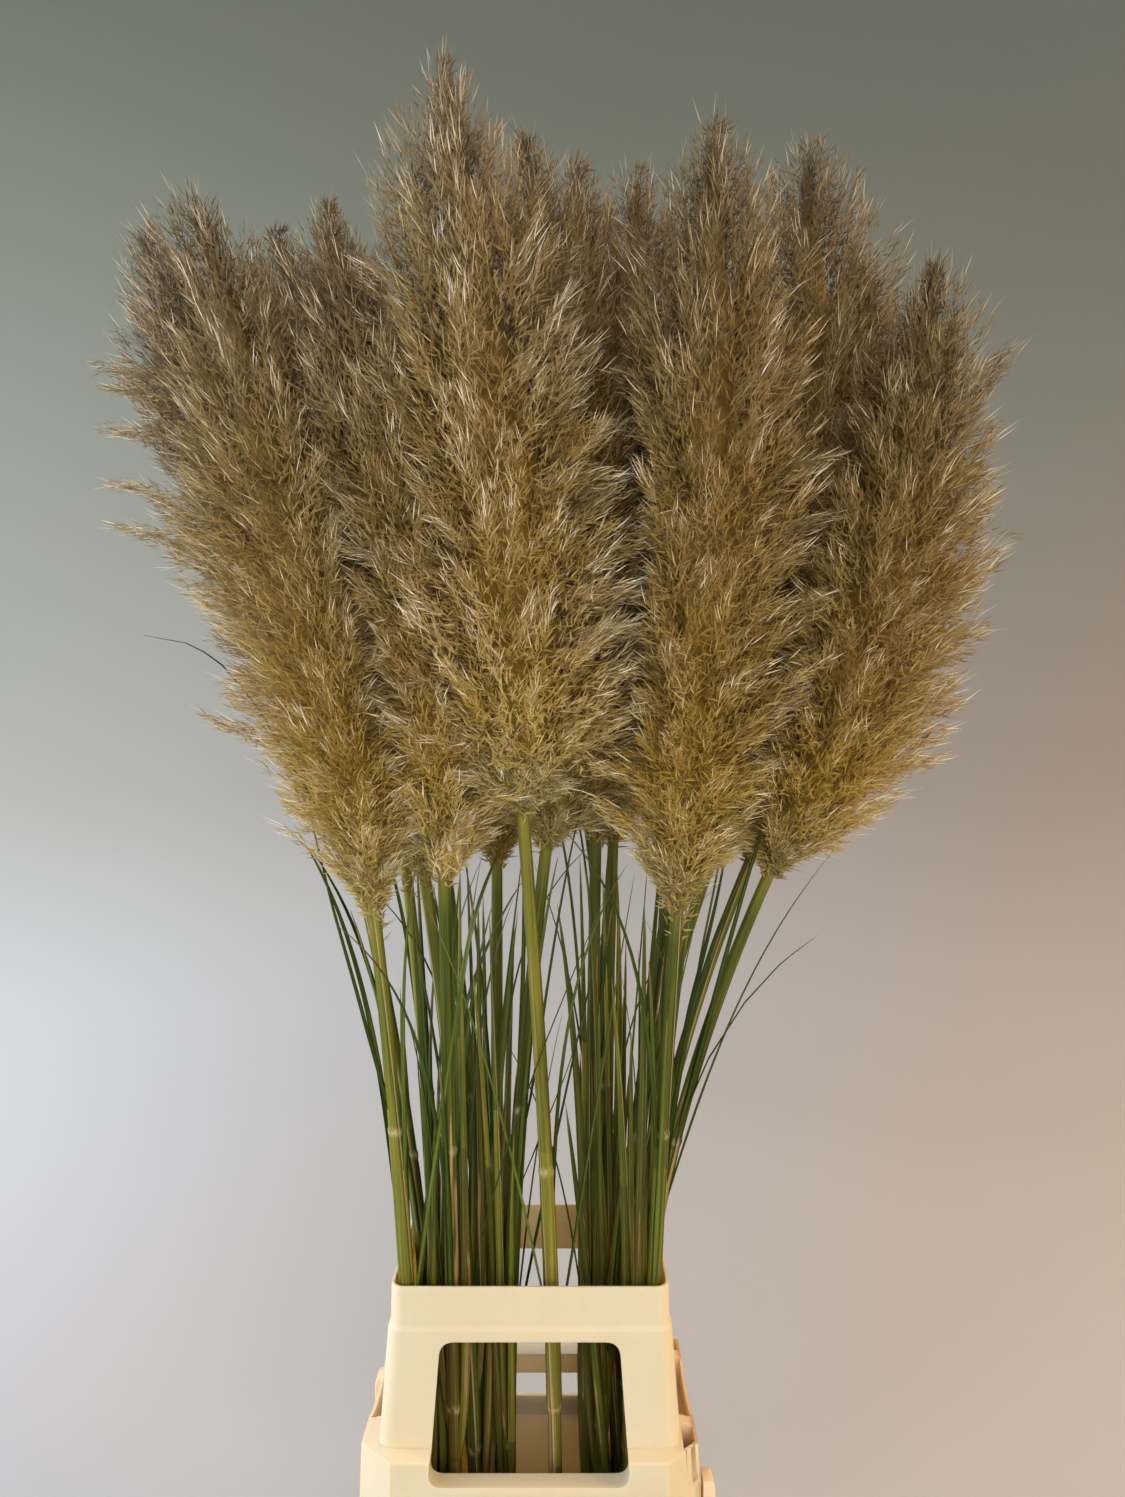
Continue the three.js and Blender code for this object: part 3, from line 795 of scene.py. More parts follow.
def cane_path(stalk):
    """The cane with a swollen pale ring at each joint, and a step out where a sheath starts."""
    roll = dice(400 + stalk.number)
    starts = [start + lerp(-NODE_SHIFT, NODE_SHIFT, roll()) for start in SHEATHS_FROM]
    joints = [LOW_NODE, *starts]
    even = {i / CANE_STEPS for i in range(CANE_STEPS + 1)}
    close = {start + RING_STEP * k for start in joints for k in range(-3, 4)}
    path = new_path(ROUND, roll())
    for t in sorted(even | close):
        near = min((t - start for start in joints), key=abs)
        ring = math.exp(-((near / RING_HALF) ** 2))
        groove = math.exp(-(((near + GROOVE_BELOW) / GROOVE_HALF) ** 2))
        radius = cane_radius(t, starts) + RING_SWELL * ring - GROOVE_DEPTH * groove
        add_station(path, arc_point(stalk.stem, t), radius, (1, 0, 0), t, ring)
    end_caps(path)
    return path


BLADE_STEPS = 18
BARE = {3}  # stalks whose low leaves have been stripped


def blade_path(stalk, leaf):
    """A leaf, or a shoot, which is round and thinner than a leaf is wide."""
    across = np.array([-math.sin(leaf["turn"]), math.cos(leaf["turn"]), 0])
    line = midline(stalk, leaf, BLADE_STEPS)
    path = new_path(ROUND if leaf["rolled"] else FLAT, leaf["tone"])
    for i, place in enumerate(line):
        s = i / BLADE_STEPS
        add_station(path, place, blade_half(leaf["width"], s) * (leaf["rolled"] or 1), across, s, 0.0)
    end_caps(path)
    return path


# Single leaves that stick out of the bunch: their widths, and the points that their midlines pass.
ODD_LEAVES = {
    9: (0.005, [
        (-0.186, -0.014, 0.85), (-0.252, -0.026, 0.99), (-0.312, -0.030, 1.093), (-0.350, -0.032, 1.140),
        (-0.385, -0.034, 1.166), (-0.410, -0.036, 1.170), (-0.441, -0.038, 1.176),
    ]),
    5: (0.006, [
        (0.152, -0.052, 0.56), (0.168, -0.056, 0.63), (0.198, -0.058, 0.70), (0.238, -0.058, 0.762),
        (0.280, -0.058, 0.808), (0.320, -0.058, 0.838),
    ]),
    2: (0.007, [
        (-0.052, -0.100, 0.52), (-0.024, -0.104, 0.62), (0.016, -0.108, 0.73), (0.052, -0.110, 0.82),
        (0.088, -0.110, 0.905),
    ]),
    7: (0.006, [
        (-0.020, -0.060, 0.54), (0.004, -0.064, 0.60), (0.040, -0.068, 0.69), (0.062, -0.070, 0.76),
    ]),
    1: (0.008, [
        (-0.152, -0.104, 0.66), (-0.184, -0.106, 0.78), (-0.212, -0.108, 0.88), (-0.238, -0.108, 0.985),
    ]),
}


def odd_leaf(number):
    """A leaf through the given points, its face turned partly to the front."""
    width, line = ODD_LEAVES[number]
    path = new_path(FLAT, 0.1)
    gone = np.cumsum([0, *[math.dist(a, b) for a, b in zip(line, line[1:])]])
    for i in range(BLADE_STEPS + 1):
        s = i / BLADE_STEPS
        place = np.array([np.interp(s * gone[-1], gone, places) for places in zip(*line)])
        add_station(path, place, blade_half(width, s), (0.3, 0.8, 0.5), s, 0.0)
    end_caps(path)
    return path


def lines_object(name, paths, points=(), faces=()):
    """Paths as loose lines of edges, after a mesh's points and faces if there are any."""
    points, edges = list(points), []
    for path in paths:
        first = len(points)
        points += path["points"]
        edges += [(first + i, first + i + 1) for i in range(len(path["points"]) - 1)]
    return mesh_object(name, points, list(faces), edges)


def keep_values(made, columns):
    """Stores a number, or a vector, with each point of a mesh."""
    for title, values in columns.items():
        rows = np.array(values, float)
        kind, slot = ("FLOAT", "value") if rows.ndim == 1 else ("FLOAT_VECTOR", "vector")
        made.data.attributes.new(title, kind, "POINT").data.foreach_set(slot, rows.ravel())


def stem_object(stalk, paths):
    """A stem's paths, each with a lane of its own across the map that the finishes read."""
    made = lines_object(f"leafy_stem_{stalk.name}", paths)
    columns = {title: [value for path in paths for value in path[title]] for title in STATION[1:]}
    for k, path in enumerate(paths):
        path.update(lane=k / len(paths), lane_width=1 / len(paths))
    for title in ("kind", "tone", "lane", "lane_width"):
        columns[title] = [path[title] for path in paths for _ in path["points"]]
    keep_values(made, columns)
    return made


def section(name, points):
    """A cross-section for sweeping. It ends where it starts, but is left open as a seam."""
    curve = bpy.data.curves.new(name, "CURVE")
    line = curve.splines.new("POLY")
    line.points.add(len(points))
    for spot, (x, y) in zip(line.points, [*points, points[0]]):
        spot.co = (x, y, 0, 1)
    made = bpy.data.objects.new(name, curve)
    scene.collection.objects.link(made)
    return made


CANE_SIDES = 14
turns = [2 * math.pi * i / CANE_SIDES for i in range(CANE_SIDES)]
cane_section = section("cane_section", [(math.cos(turn), math.sin(turn)) for turn in turns])
blade_section = section(
    "blade_section", [(-1, 0.24), (-0.5, 0.0), (0, -0.1), (0.5, 0.0), (1, 0.24), (0, -0.32)]
)


class Growth(Graph):
    """A Geometry Nodes tree with named inputs."""

    def __init__(self, name, **inputs):
        super().__init__(bpy.data.node_groups.new(name, "GeometryNodeTree"))
        self.tree.interface.new_socket("Geometry", in_out="INPUT", socket_type="NodeSocketGeometry")
        self.tree.interface.new_socket("Geometry", in_out="OUTPUT", socket_type="NodeSocketGeometry")
        for title, kind in inputs.items():
            self.tree.interface.new_socket(title, in_out="INPUT", socket_type=f"NodeSocket{kind}")
        self.entry = self.tree.nodes.new("NodeGroupInput")
        self.exit = self.tree.nodes.new("NodeGroupOutput")

    def given(self, title):
        return Wire(self, self.entry.outputs[title])

    def step(self, kind, settings=None, output=0, **sockets):
        """A Geometry Nodes step, with its sockets by name."""
        sockets = {title.replace("_", " "): value for title, value in sockets.items()}
        return self.node(f"GeometryNode{kind}", settings, sockets, output)

    def equal(self, kind, first, second):
        """Whether two numbers are the same. Whole numbers have other sockets than FLOAT ones."""
        place = {"FLOAT": 0, "INT": 2}[kind]
        settings = {"data_type": kind, "operation": "EQUAL"}
        return self.node("FunctionNodeCompare", settings, {place: first, place + 1: second})

    def named(self, title, kind="FLOAT"):
        return self.step("InputNamedAttribute", {"data_type": kind}, Name=title)

    def keep(self, shape, title, value, kind="FLOAT", domain="POINT"):
        """Stores a value on a shape under a name."""
        settings = {"data_type": kind, "domain": domain}
        return self.step("StoreNamedAttribute", settings, Geometry=shape, Name=title, Value=value)

    def vector(self, x, y, z=0.0):
        return self.node("ShaderNodeCombineXYZ", None, {"X": x, "Y": y, "Z": z})

    def finish(self, shape):
        self.tree.links.new(shape.socket, self.exit.inputs["Geometry"])

    def grow(self, made, **values):
        """Runs the tree on an object and leaves plain mesh."""
        given = [item for item in self.tree.interface.items_tree if item.in_out == "INPUT"]
        sockets = {item.name: item.identifier for item in given}
        step = made.modifiers.new("growth", "NODES")
        step.node_group = self.tree
        for title, value in values.items():
            step[sockets[title]] = value
        settle(made)
        for title in FORGOTTEN & set(made.data.attributes.keys()):
            made.data.attributes.remove(made.data.attributes[title])


# What the trees need to know at each point and the finishes don't read.
FORGOTTEN = {"side", "radius", "kind", "lane", "lane_width"}


def stem_growth():
    """Sweeps the cane's section along round paths and the blade's along flat ones."""
    growth = Growth(
        "leafy_stem", Cane_section="Object", Blade_section="Object", Cane_finish="Material",
        Blade_finish="Material",
    )
    swept = []
    for kind, title in ((ROUND, "Cane"), (FLAT, "Blade")):
        wanted = growth.equal("FLOAT", growth.named("kind"), float(kind))
        path = growth.step("MeshToCurve", Mesh=growth.given("Geometry"), Selection=wanted)
        side = growth.named("side", "FLOAT_VECTOR")
        path = growth.step("SetCurveNormal", {"mode": "FREE"}, Curve=path, Normal=side)
        outline = growth.step("ObjectInfo", output="Geometry", Object=growth.given(f"{title}_section"))
        outline = growth.keep(outline, "around", growth.step("SplineParameter", output="Factor"))
        size = growth.named("radius")
        tube = growth.step("CurveToMesh", Curve=path, Profile_Curve=outline, Scale=size)
        around, lane_width = growth.named("around"), growth.named("lane_width")
        across = growth.named("lane") + lane_width * (0.04 + 0.92 * around)
        spot = growth.vector(across, 0.02 + 0.96 * growth.named("along"))
        tube = growth.keep(tube, "OFBake", spot, "FLOAT2", "CORNER")
        tube = growth.keep(tube, "around", around, "FLOAT", "CORNER")
        tube = growth.step("MergeByDistance", Geometry=tube, Distance=4 * POINT)
        tube = growth.step("SetShadeSmooth", Geometry=tube)
        material = growth.given(f"{title}_finish")
        swept.append(growth.step("SetMaterial", Geometry=tube, Material=material))
    joined = growth.step("JoinGeometry", Geometry=swept)
    growth.finish(growth.step("RealizeInstances", Geometry=joined))
    return growth


def value_of(finish, title):
    return finish.node("ShaderNodeAttribute", {"attribute_name": title}, output="Fac")


def skin_of(finish):
    """Where a point is on a swept skin: round it, along it, its random tone, and a seamless place."""
    around, along, tone = [value_of(finish, title) for title in ("around", "along", "tone")]
    turn = around * (2 * math.pi)
    sockets = {"X": turn.cosine() * 0.5 + tone * 37, "Y": turn.sine() * 0.5, "Z": along}
    return around, along, tone, finish.node("ShaderNodeCombineXYZ", None, sockets)


def streaks_and_groove_shade(finish, fibre, dark, middle, light):
    """The colour of one kind of fibre, grooves to ridges: its streaks, with painted shade in the grooves.
    """
    return finish.ramp(fibre, (0.3, dark), (0.5, middle), (0.7, light))


def cane_finish():
    """Green with lengthwise veins. Some sheaths are yellow or dry, with a pale margin and a painted
    shadow up one side.
    """
    finish = Finish("grass_cane")
    ring = value_of(finish, "ring")
    around, along, tone, place = skin_of(finish)
    veins = finish.noise(place, 22, 2, stretch=(1, 1, 0.25))
    streak = finish.noise(place, 5, 3, stretch=(1, 1, 0.9))
    patch = finish.noise(place, 1.3, 2, stretch=(1, 1, 4))
    internode = along.above(SHEATHS_FROM[0] - 0.02) + along.above(SHEATHS_FROM[1])
    sockets = {"W": internode * 3.7 + tone * 11}
    age = finish.node("ShaderNodeTexWhiteNoise", {"noise_dimensions": "1D"}, sockets, output="Value")
    fibre = veins * 0.6 + streak * 0.4
    green = streaks_and_groove_shade(finish, fibre, "202e07", "465310", "7b8628")
    yellow = streaks_and_groove_shade(finish, fibre, "525214", "7f7d28", "aca34c")
    olive = streaks_and_groove_shade(finish, fibre, "312e0b", "544a18", "82733a")
    dry = streaks_and_groove_shade(finish, fibre, "7a5c33", "a98a58", "cdb486")
    body = finish.blend((age + 0.9 * patch - 0.45).between(0.62, 0.95), green, yellow)
    body = finish.blend((0.42 - age + patch * 0.5 - 0.2).between(0.0, 0.2) * (1.1 - along), body, olive)
    body = finish.blend((patch - along * 0.2).between(0.53, 0.58), body, dry)
    body = finish.blend((1 - along.between(0.34, 0.52)) * 0.45, body, olive)
    edge = (around + tone + along * 0.35 + 0.02 * patch).fraction()
    on_sheath = along.between(SHEATHS_FROM[0] - 0.1, SHEATHS_FROM[0] - 0.09)
    margin = (1 - edge.between(0.0, 0.05)) * on_sheath
    body = finish.blend(margin * 0.8, body, "c8b583")
    # Painted shadow: a dark line along the margin, where the sheath's overlapping edge shades the cane.
    body = finish.blend(edge.between(0.93, 0.99) * on_sheath * 0.5, body, "2c3310")
    worn = finish.noise(place, 3, 2, stretch=(1, 1, 30))
    body = finish.blend(ring * worn.between(0.35, 0.6) * 0.75, body, "cdbf8c")
    finish.surface(
        Base_Color=finish.blend(along.between(0.93, 1.0) * 0.6, body, "9a9440"),
        Roughness=0.4 + 0.2 * streak,
        Normal=finish.bump(veins - margin * 0.6, 0.0006, 0.6),
        Specular_IOR_Level=0.25,
    )
    return finish.material


def blade_finish():
    """Green with fine veins, deeper on some leaves than on others, and a dry tip."""
    finish = Finish("grass_blade")
    _, along, tone, place = skin_of(finish)
    veins = finish.noise(place, 16, 2, stretch=(1, 1, 0.3))
    patch = finish.noise(place, 1.5, 1, stretch=(1, 1, 3))
    green = streaks_and_groove_shade(finish, veins, "1d2e05", "33470b", "566b1c")
    fresh = streaks_and_groove_shade(finish, veins, "3c4c12", "5a6b1f", "849440")
    body = finish.blend((tone + patch - 0.5).between(0.45, 0.75), green, fresh)
    finish.surface(
        Base_Color=finish.blend(along.between(0.8, 1.0) * (0.35 + patch).least(1), body, "8f7a4a"),
        Roughness=0.42 + 0.15 * patch,
        Normal=finish.bump(veins, 0.0005, 0.5),
        Specular_IOR_Level=0.25,
    )
    return finish.material


growth = stem_growth()
given = {
    "Cane_section": cane_section, "Blade_section": blade_section,
    "Cane_finish": cane_finish(), "Blade_finish": blade_finish(),
}
taken = []
broad_leaves = {stalk.number: leaves_of(stalk, BROAD, taken) for stalk in stalks}
leafy = [stalk for stalk in stalks if stalk.number not in BARE]
shoots = {stalk.number: leaves_of(stalk, SHOOT, taken) for stalk in leafy}
slim_leaves = {stalk.number: leaves_of(stalk, SLIM, taken) for stalk in leafy}
for stalk in stalks:
    kinds = (broad_leaves, shoots, slim_leaves)
    leaves = [leaf for kind in kinds for leaf in kind.get(stalk.number, [])]
    blades = [blade_path(stalk, leaf) for leaf in leaves]
    if stalk.number in ODD_LEAVES:
        blades.append(odd_leaf(stalk.number))
    stem = stem_object(stalk, [cane_path(stalk), *blades])
    growth.grow(stem, **given)
    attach(stem, "root")
    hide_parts(f"stem_{stalk.name}")
for outline in (cane_section, blade_section):
    bpy.data.objects.remove(outline)

# ---- Plumes -------------------------------------------------------------------------------------
# A plume is a loose head of a few hundred thin branches round the top of the stalk. Every branch
# sweeps up and out and is set with silky spikelets, golden inside and pale at the tips.

TAILS = 150  # branch ends that show as one shaggy tail
SPRIGS = 1310  # side branches, which gather in the tails
INNER_SPRIGS = 380  # shorter ones round the heart, closer to upright
SPRIG_STEPS = 3
SPIKELETS = 32  # on each side branch
SPIKELET_LENGTH = 0.018
SPIKELET_HALF = 0.0008
GOLDEN_TURN = math.pi * (3 - math.sqrt(5))  # from each branch to the next, so that none line up
GATHER = 0.5  # how far a side branch's tip is drawn to its tail's tip
MINGLE = 0.012  # how far branches cross the plane between two plumes
CLEAR = 0.008  # how far they keep from a neighbour's bare stem
HEART = 0.34  # the size of the tangled heart, against the plume's reach
HEART_RINGS, HEART_SIDES = 30, 16
# How far branches may pass the solid model's box sideways, and keep inside it at the front and back.
TIP_ROOM = (0.010, -0.001)

# How a plume grows, and where single ones differ. "rise" is how steeply its lowest branches climb,
# in degrees: the steeper, the slimmer its foot is. "full" is where such a foot has grown to full
# width, as a share of its length, "blunt" how broad its top is, and "push" how much room it takes
# from its neighbours. "dusk" makes it pinker and greyer, and "shade" darker.
USUAL = {"rise": 36, "full": 0.4, "blunt": 0.7, "push": 1, "dusk": 0.0, "shade": 0.03}
UNUSUAL = {
    1: {"rise": 47, "full": 0.62, "blunt": 1.1, "shade": 0.01},
    2: {"rise": 30, "blunt": 1.0, "shade": 0.0},
    3: {"rise": 0, "blunt": 0.5, "push": 1.5, "shade": -0.05},
    4: {"rise": 45, "shade": 0.05},
    5: {"rise": 20, "blunt": 0.35, "shade": 0.07},
    6: {"rise": 50, "full": 0.5},
    7: {"rise": 20},
    8: {"blunt": 1.3, "shade": 0.05},
    9: {"rise": 56, "full": 0.62, "dusk": 0.2, "shade": 0.0},
    12: {"rise": 24, "blunt": 0.4, "shade": 0.07},
    13: {"blunt": 1.4},
    14: {"dusk": 0.12},
    15: {"dusk": 0.15},
    16: {"rise": 50, "full": 0.6, "blunt": 1.1, "dusk": 0.28, "shade": 0.0},
}
# Long tails that stand clear of the rest: how many branches each has, and where the tips are, by the
# plume that they grow from.
WISP_SPRIGS = 10
WISPS = {
    1: [
        (-0.462, -0.105, 1.440), (-0.474, -0.100, 1.462), (-0.464, -0.100, 1.337),
        (-0.446, -0.118, 1.284), (-0.352, -0.110, 1.083), (-0.478, -0.080, 1.400),
    ],
    2: [(-0.080, -0.170, 0.952), (-0.062, -0.150, 0.975)],
    3: [
        (-0.205, -0.200, 1.390), (-0.190, -0.196, 1.250), (0.112, -0.190, 1.180), (-0.150, -0.180, 1.080),
    ],
    4: [(0.333, -0.160, 1.292), (0.288, -0.160, 1.109), (0.322, -0.168, 1.350)],
    5: [(0.494, -0.104, 1.348), (0.488, -0.104, 1.240), (0.452, -0.086, 1.040)],
}
habits = {stalk.number: USUAL | UNUSUAL.get(stalk.number, {}) for stalk in stalks}


def reach(stalk, z, angle, room):
    """How far out a branch may reach before it is too far inside a neighbour's room."""
    x, y, own, _ = stalk.at(z)
    own *= habits[stalk.number]["push"]
    far = room
    for other in stalks:
        there = None if other is stalk else other.at(z)
        if there is None:
            continue
        dx, dy = there[0] - x, there[1] - y
        apart = math.hypot(dx, dy)
        theirs = there[2] * habits[other.number]["push"]
        share = clamp(0.5 + (own**2 - theirs**2) / (2 * apart * apart), 0.2, 0.8)
        limit = apart * share + MINGLE if there[3] else apart - there[2] - CLEAR
        towards = (dx * math.cos(angle) + dy * math.sin(angle)) / apart
        if towards > 0.01:
            far = min(far, limit / towards)
    return far


def even_shares(count):
    """Shares of a plume's length, closer together where it is wider."""
    steps = 400
    sums = np.cumsum([swell((i + 0.5) / steps) + 0.16 for i in range(steps)])
    return np.interp((np.arange(count) + 0.5) / count * sums[-1], sums, np.arange(steps) / steps)


def fullness(stalk, u):
    """How wide the plume is with its soft ends: blunter than its solid above, slim or full below."""
    u = clamp(u)
    habit = habits[stalk.number]
    blunt = 1 + habit["blunt"] * clamp((u - 0.56) / 0.44) ** 1.3
    grown = clamp(u / habit["full"])
    slim = lerp(1.1, 0.4 + 0.6 * grown, clamp((habit["rise"] - 8) / 46))
    return max(swell(u) * blunt * slim, 0.16 * clamp((1.01 - u) * 14) * clamp(u * 14))


def rise_of(stalk, u):
    """How steeply the branches climb, in degrees: by the plume's habit at the foot, most at the top."""
    low = lerp(habits[stalk.number]["rise"], 31, clamp(u / 0.16))
    return low + 50 * clamp((u - 0.38) / 0.57) ** 1.4


def branch_tip(stalk, u, angle, scale, lift):
    """Where a branch ends: how high, how far out, and which way it heads."""
    foot, top = stalk.plume[0][2], stalk.plume[2][2]
    z = foot + (top - foot) * clamp(u, 0.015, 0.995)
    below_tip = min(z, top - 0.001)
    x, y, _, _ = stalk.at(below_tip)
    out = np.array([math.cos(angle), math.sin(angle), 0])
    far = max(reach(stalk, below_tip, angle, stalk.radius * fullness(stalk, u)), 0.006) * scale
    slope = math.radians(lift)
    # Low branches start at the plume's foot at the lowest, so a steep foot is a narrow cone.
    far = min(far, 0.012 + (z - foot) / max(math.tan(slope), 0.05))
    for axis, place in enumerate((x, y)):
        high = out[axis] > 0
        edge = cad_box[1][axis] + TIP_ROOM[axis] if high else cad_box[0][axis] - TIP_ROOM[axis]
        if abs(out[axis]) > 0.1:
            far = min(far, (edge - place) / out[axis])
    ahead = out * math.cos(slope) + arc_heading(stalk.plume, clamp(u)) * math.sin(slope)
    return np.array([x, y, z]), out, far, ahead


def branch(arc, out, span, depth, height, tone):
    """A branch's points, with what its spikelets need to know at each. Spans run from root to tip."""
    shares = [i / SPRIG_STEPS for i in range(SPRIG_STEPS + 1)]
    return {
        "points": [arc_point(arc, t) for t in shares],
        "share": [lerp(*span, t) for t in shares],
        "depth": [clamp(lerp(*depth, t)) for t in shares],
        "height": [clamp(height)] * len(shares),
        "tone": [tone] * len(shares),
        "outward": [(out[0], out[1], 0.35)] * len(shares),
    }


def sprig(stalk, u, angle, scale, lift, length, tone, tail=None, span=1):
    """A side branch, from inside the plume to its soft outline, drawn to the tip of a tail."""
    middle, out, far, ahead = branch_tip(stalk, u, angle, scale, lift)
    length = min(length, 0.97 * far / max(math.cos(math.radians(lift)), 0.1))
    tip = middle + out * far
    start = tip - ahead * length
    if tail is not None:
        tip = tip + (tail - tip) * GATHER * clamp((0.97 - u) * 8)
    bend = (start + tip) / 2 + (np.array([0, 0, 0.9]) - out * 0.5) * length * lerp(-0.03, 0.12, tone)
    inner = math.hypot(start[0] - middle[0], start[1] - middle[1])
    depth = (inner / stalk.radius, far / stalk.radius)
    return branch((start, bend, tip), out, (0, span), depth, u, tone)


def wisp(stalk, tip, roll):
    """One of the branches that make a long tail, with a tip close to the tail's."""

    def strewn(share, by):
        place = lerp(root, tip, lerp(*share, roll()))
        return place + np.array([lerp(-by, by, roll()) for _ in range(3)])

    x, y, _, _ = stalk.at(tip[2] - 0.05)
    root = np.array([x, y, tip[2] - 0.07])
    start, end = strewn((0.4, 0.62), 0.014), strewn((0.82, 1.0), 0.004)
    out = (tip - root) * (1, 1, 0) / math.hypot(*(tip - root)[:2])
    bend = (start + end) / 2 + np.array([0, 0, 0.010])
    height = (tip[2] - stalk.plume[0][2]) / 0.8
    return branch((start, bend, end), out, (0.4, 1), (1, 1), height, roll())


def sprigs_of(stalk):
    """All branches of a plume: the ones that gather in tails, the inner ones and the long tails."""
    roll = dice(100 + stalk.number)
    tails = []
    for k, u in enumerate(even_shares(TAILS)):
        u += lerp(-0.02, 0.02, roll())
        angle = k * GOLDEN_TURN + lerp(-0.25, 0.25, roll())
        scale, lift, tone = lerp(0.8, 1.05, roll()), rise_of(stalk, u) + lerp(-8, 8, roll()), roll()
        if roll() < 0.2:
            scale += lerp(0.1, 0.32, roll())
            lift -= 8
        middle, out, far, _ = branch_tip(stalk, u, angle, scale, lift)
        tails.append((middle + out * far, scale, lift, tone))
    tips = np.array([tail[0] for tail in tails])
    paths = []
    for k, u in enumerate(even_shares(SPRIGS)):
        u += lerp(-0.012, 0.012, roll())
        angle = k * GOLDEN_TURN + lerp(-0.25, 0.25, roll())
        middle, out, far, _ = branch_tip(stalk, u, angle, 1, 45)
        nearest = np.argmin(np.linalg.norm(tips - middle - out * far, axis=1))
        tip, scale, lift, tone = tails[nearest]
        scale *= lerp(0.84, 1.0, roll() ** 0.7)
        lift += lerp(-18, 16, roll())
        length = lerp(0.056, 0.086, roll())
        paths.append(sprig(stalk, u, angle, scale, lift, length, 0.7 * tone + 0.3 * roll(), tip))
    for k, u in enumerate(even_shares(INNER_SPRIGS)):
        angle = k * GOLDEN_TURN + lerp(-0.3, 0.3, roll())
        lift = min(rise_of(stalk, u) + lerp(15, 35, roll()), 84)
        paths.append(sprig(stalk, u, angle, lerp(0.5, 0.68, roll()), lift, 0.08, roll(), span=0.45))
    for tip in WISPS.get(stalk.number, []):
        paths += [wisp(stalk, np.array(tip), roll) for _ in range(WISP_SPRIGS)]
    return paths


def heart(stalk):
    """The tangled inside of a plume, as rings round its stalk, closed at both ends."""
    roll = dice(200 + stalk.number)
    foot, top = stalk.plume[0][2], stalk.plume[2][2]
    points, faces, heights = [], [], []
    for k in range(HEART_RINGS + 1):
        u = 0.985 * k / HEART_RINGS
        z = foot + (top - foot) * u
        x, y, _, _ = stalk.at(z)
        if k in (0, HEART_RINGS):
            points.append((x, y, z))
            heights.append(u)
            continue
        for i in range(HEART_SIDES):
            angle = 2 * math.pi * (i + 0.5 * (k % 2)) / HEART_SIDES
            size = HEART * (1 - 0.8 * clamp((u - 0.55) / 0.4)) * lerp(0.85, 1.15, roll())
            far = reach(stalk, z, angle, stalk.radius * fullness(stalk, u)) * size
            points.append((x + far * math.cos(angle), y + far * math.sin(angle), z))
            heights.append(u)
    last = len(points) - 1
    for i in range(HEART_SIDES):
        j = (i + 1) % HEART_SIDES
        faces.append((0, 1 + j, 1 + i))
        faces.append((last, last - HEART_SIDES + i, last - HEART_SIDES + j))
        for k in range(HEART_RINGS - 2):
            low, high = 1 + k * HEART_SIDES, 1 + (k + 1) * HEART_SIDES
            faces.append((low + i, low + j, high + j, high + i))
    return points, faces, heights


def plume_object(stalk):
    """The heart as faces, and the branches as loose lines of edges for the spikelets to grow on."""
    points, faces, heights = heart(stalk)
    paths = sprigs_of(stalk)
    made = lines_object(f"plume_{stalk.name}_spikelets", paths, points, faces)
    columns = {title: [0.0] * len(points) for title in ("share", "depth", "tone")}
    columns["height"] = heights
    columns["outward"] = [(0, 0, 1)] * len(points)
    for title, values in columns.items():
        values += [value for path in paths for value in path[title]]
    keep_values(made, columns)
    return made


def spikelet():
    """One spikelet's silky husk, about 1 wide to each side and 1 long, with its face to +Y."""
    made = mesh_object("spikelet", [(-0.6, 0, 0), (1, 0, 0.3), (0, 0.15, 1)], [(1, 0, 2)])
    keep_values(made, {"tip": [0.0, 0.3, 1.0], "side": [-1.0, 1.0, 0.0]})
    return made


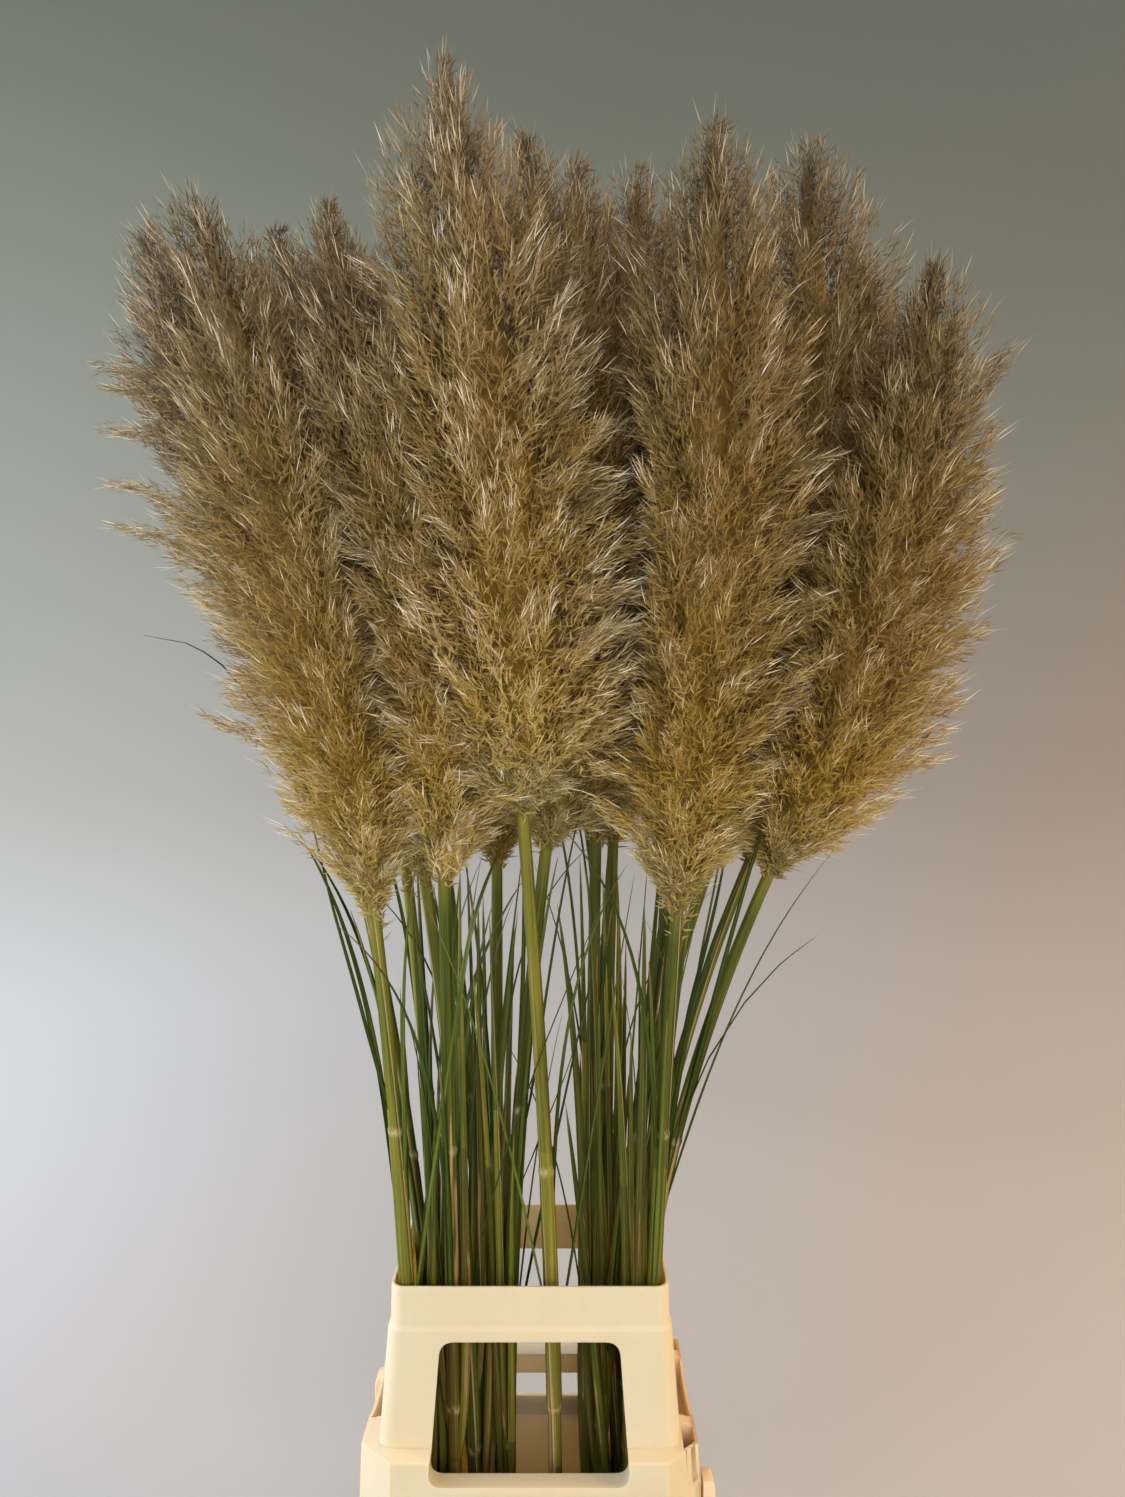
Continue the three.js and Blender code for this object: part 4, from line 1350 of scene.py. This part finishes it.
def plume_growth():
    """Strews spikelets along a plume's loose lines, and sets where on the map their colours are."""
    growth = Growth(
        "plume", Spikelet="Object", Finish="Material", Count="Int", Length="Float", Half_width="Float",
        Dusk="Float", Shade="Float", Seed="Int",
    )

    def chance(low, high, step):
        """A random number for each spikelet."""
        sockets = {2: low, 3: high, "Seed": growth.given("Seed") + step}
        return growth.node("FunctionNodeRandomValue", {"data_type": "FLOAT"}, sockets, output=1)

    def astray(step, by):
        """A random push in any direction."""
        sockets = {0: (-1, -1, -1), 1: (1, 1, 1), "Seed": growth.given("Seed") + step}
        push = growth.node("FunctionNodeRandomValue", {"data_type": "FLOAT_VECTOR"}, sockets)
        return growth.node("ShaderNodeVectorMath", {"operation": "SCALE"}, {0: push, "Scale": by})

    def pushed(title, push):
        sockets = {0: growth.named(title, "FLOAT_VECTOR"), 1: push}
        return growth.node("ShaderNodeVectorMath", {"operation": "ADD"}, sockets)

    # The lines become rows of points, each with the line's heading.
    faces = growth.step("InputMeshEdgeNeighbors", output="Face Count")
    loose = growth.equal("INT", faces, 0)
    lines = growth.step("MeshToCurve", Mesh=growth.given("Geometry"), Selection=loose)
    row = growth.step("CurveToPoints", {"mode": "COUNT"}, Curve=lines, Count=growth.given("Count"))
    points = growth.keep(row, "ahead", row.beside("Tangent"), "FLOAT_VECTOR")
    share = growth.named("share")
    points = growth.step("SetPosition", Geometry=points, Offset=astray(6, 0.0075 - 0.0045 * share))

    # A spikelet on each, fanned out round the heading, slimmer and closer towards the tip. One in
    # six is an open husk, longer and straighter, painted paler as a highlight where it catches the light.
    open_husk_highlight = chance(0, 1, 7).between(0.83, 0.8301) * share
    way = pushed("ahead", astray(1, (0.95 - 0.45 * share) * (1 - 0.55 * open_husk_highlight)))
    facing = growth.node("FunctionNodeAlignRotationToVector", {"axis": "Z"}, {"Vector": way})
    sockets = {"Rotation": facing, "Vector": pushed("outward", astray(2, 0.5))}
    facing = growth.node("FunctionNodeAlignRotationToVector", {"axis": "Y", "pivot_axis": "Z"}, sockets)
    long = growth.given("Length") * chance(0.6, 1.1, 3) * (1 - 0.1 * share + 0.75 * open_husk_highlight)
    spread = 1 + 1.6 * (1 - share) ** 2.5 - 0.1 * open_husk_highlight
    wide = growth.given("Half_width") * spread * chance(0.7, 1.2, 4)
    # The stored chance is a random paleness, plus the painted highlight on open husks.
    points = growth.keep(points, "chance", chance(-0.08, 0.06, 5) + 0.44 * open_husk_highlight)
    model = growth.given("Spikelet")
    husk = growth.step("ObjectInfo", output="Geometry", Object=model, As_Instance=True)
    size = growth.vector(wide, wide, long)
    tufts = growth.step("InstanceOnPoints", Points=points, Instance=husk, Rotation=facing, Scale=size)
    tufts = growth.step("RealizeInstances", Geometry=tufts)

    # Paler outwards and towards each tip: the silk's own colour, with painted shade on the deeper
    # spikelets. Darker towards the top, which is painted shade, as if the light fell off upwards.
    # Greenish gold at the foot, golden in the middle and dusky at the top.
    height, depth, tone = growth.named("height"), growth.named("depth"), growth.named("tone")
    low = 1 - height.between(0.05, 0.3)
    pale = 0.295 + 0.08 * depth + 0.08 * share + 0.13 * growth.named("tip") + growth.named("chance")
    # Painted shade: the height term darkens the spikelets towards the top.
    pale = pale + 0.1 * tone + 0.07 * low - 0.2 * height ** 2 - growth.given("Shade")
    dried = 0.34 + 0.46 * height ** 2 - 0.26 * (1 - height.between(0.0, 0.24)) + growth.given("Dusk")
    hue = dried + 0.15 * depth ** 2 + 0.1 * tone + 0.012 * growth.named("side")
    spot = growth.vector(pale.most(0.01).least(0.98), hue.most(0.01).least(0.99))
    tufts = growth.keep(tufts, "OFBake", spot, "FLOAT2", "CORNER")

    # The heart is mottled and painted dark: the tangle's golden brown, darkened as painted shade deep
    # inside.
    whole = growth.given("Geometry")
    core = growth.step("DeleteGeometry", {"domain": "EDGE"}, Geometry=whole, Selection=loose)
    spot = growth.vector(chance(0.16, 0.32, 8), (dried + chance(-0.05, 0.05, 9)).most(0.01))
    core = growth.keep(core, "OFBake", spot, "FLOAT2", "CORNER")
    both = growth.step("SetShadeSmooth", Geometry=growth.step("JoinGeometry", Geometry=[core, tufts]))
    growth.finish(growth.step("SetMaterial", Geometry=both, Material=growth.given("Finish")))
    return growth


def plume_finish():
    """Across the map, dark gold, also used for painted shade, to pale tips. Up it, golden to dusky pink.
    """
    finish = Finish("silky_spikelets")
    spot = finish.node("ShaderNodeUVMap", {"uv_map": "OFBake"})
    pale = finish.node("ShaderNodeSeparateXYZ", None, {"Vector": spot}, output="X")
    hue = pale.beside("Y")
    fresh = finish.ramp(pale, (0.0, "474019"), (0.3, "8b814a"), (0.6, "c6bd88"), (1.0, "f9f5df"))
    places = (0.0, 0.25, 0.5, 0.75, 1.0)
    golden = finish.ramp(pale, *zip(places, ("52400d", "8b6f20", "b59742", "dcc88e", "fbf3dc")))
    dusky = finish.ramp(pale, *zip(places, ("372f27", "5f5546", "85796a", "bbb1a2", "f8f3ea")))
    colour = finish.blend(hue.between(0.34, 0.95), golden, dusky)
    finish.surface(
        Base_Color=finish.blend(hue.between(0.04, 0.34), fresh, colour),
        Roughness=0.7,
        Specular_IOR_Level=0.15,
        Sheen_Weight=0.2,
        Sheen_Roughness=0.5,
        Sheen_Tint=paint("f4dcae"),
    )
    return finish.material


FORGOTTEN |= {"share", "depth", "height", "tone", "ahead", "chance", "tip", "outward"}
one_spikelet = spikelet()
growth = plume_growth()
given = {
    "Spikelet": one_spikelet, "Finish": plume_finish(), "Count": SPIKELETS, "Length": SPIKELET_LENGTH,
    "Half_width": SPIKELET_HALF,
}
for stalk in stalks:
    plume = plume_object(stalk)
    habit = habits[stalk.number]
    growth.grow(plume, Dusk=habit["dusk"], Shade=habit["shade"], Seed=stalk.number * 10, **given)
    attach(plume, "root")
    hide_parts(f"plume_{stalk.name}")
bpy.data.objects.remove(one_spikelet)
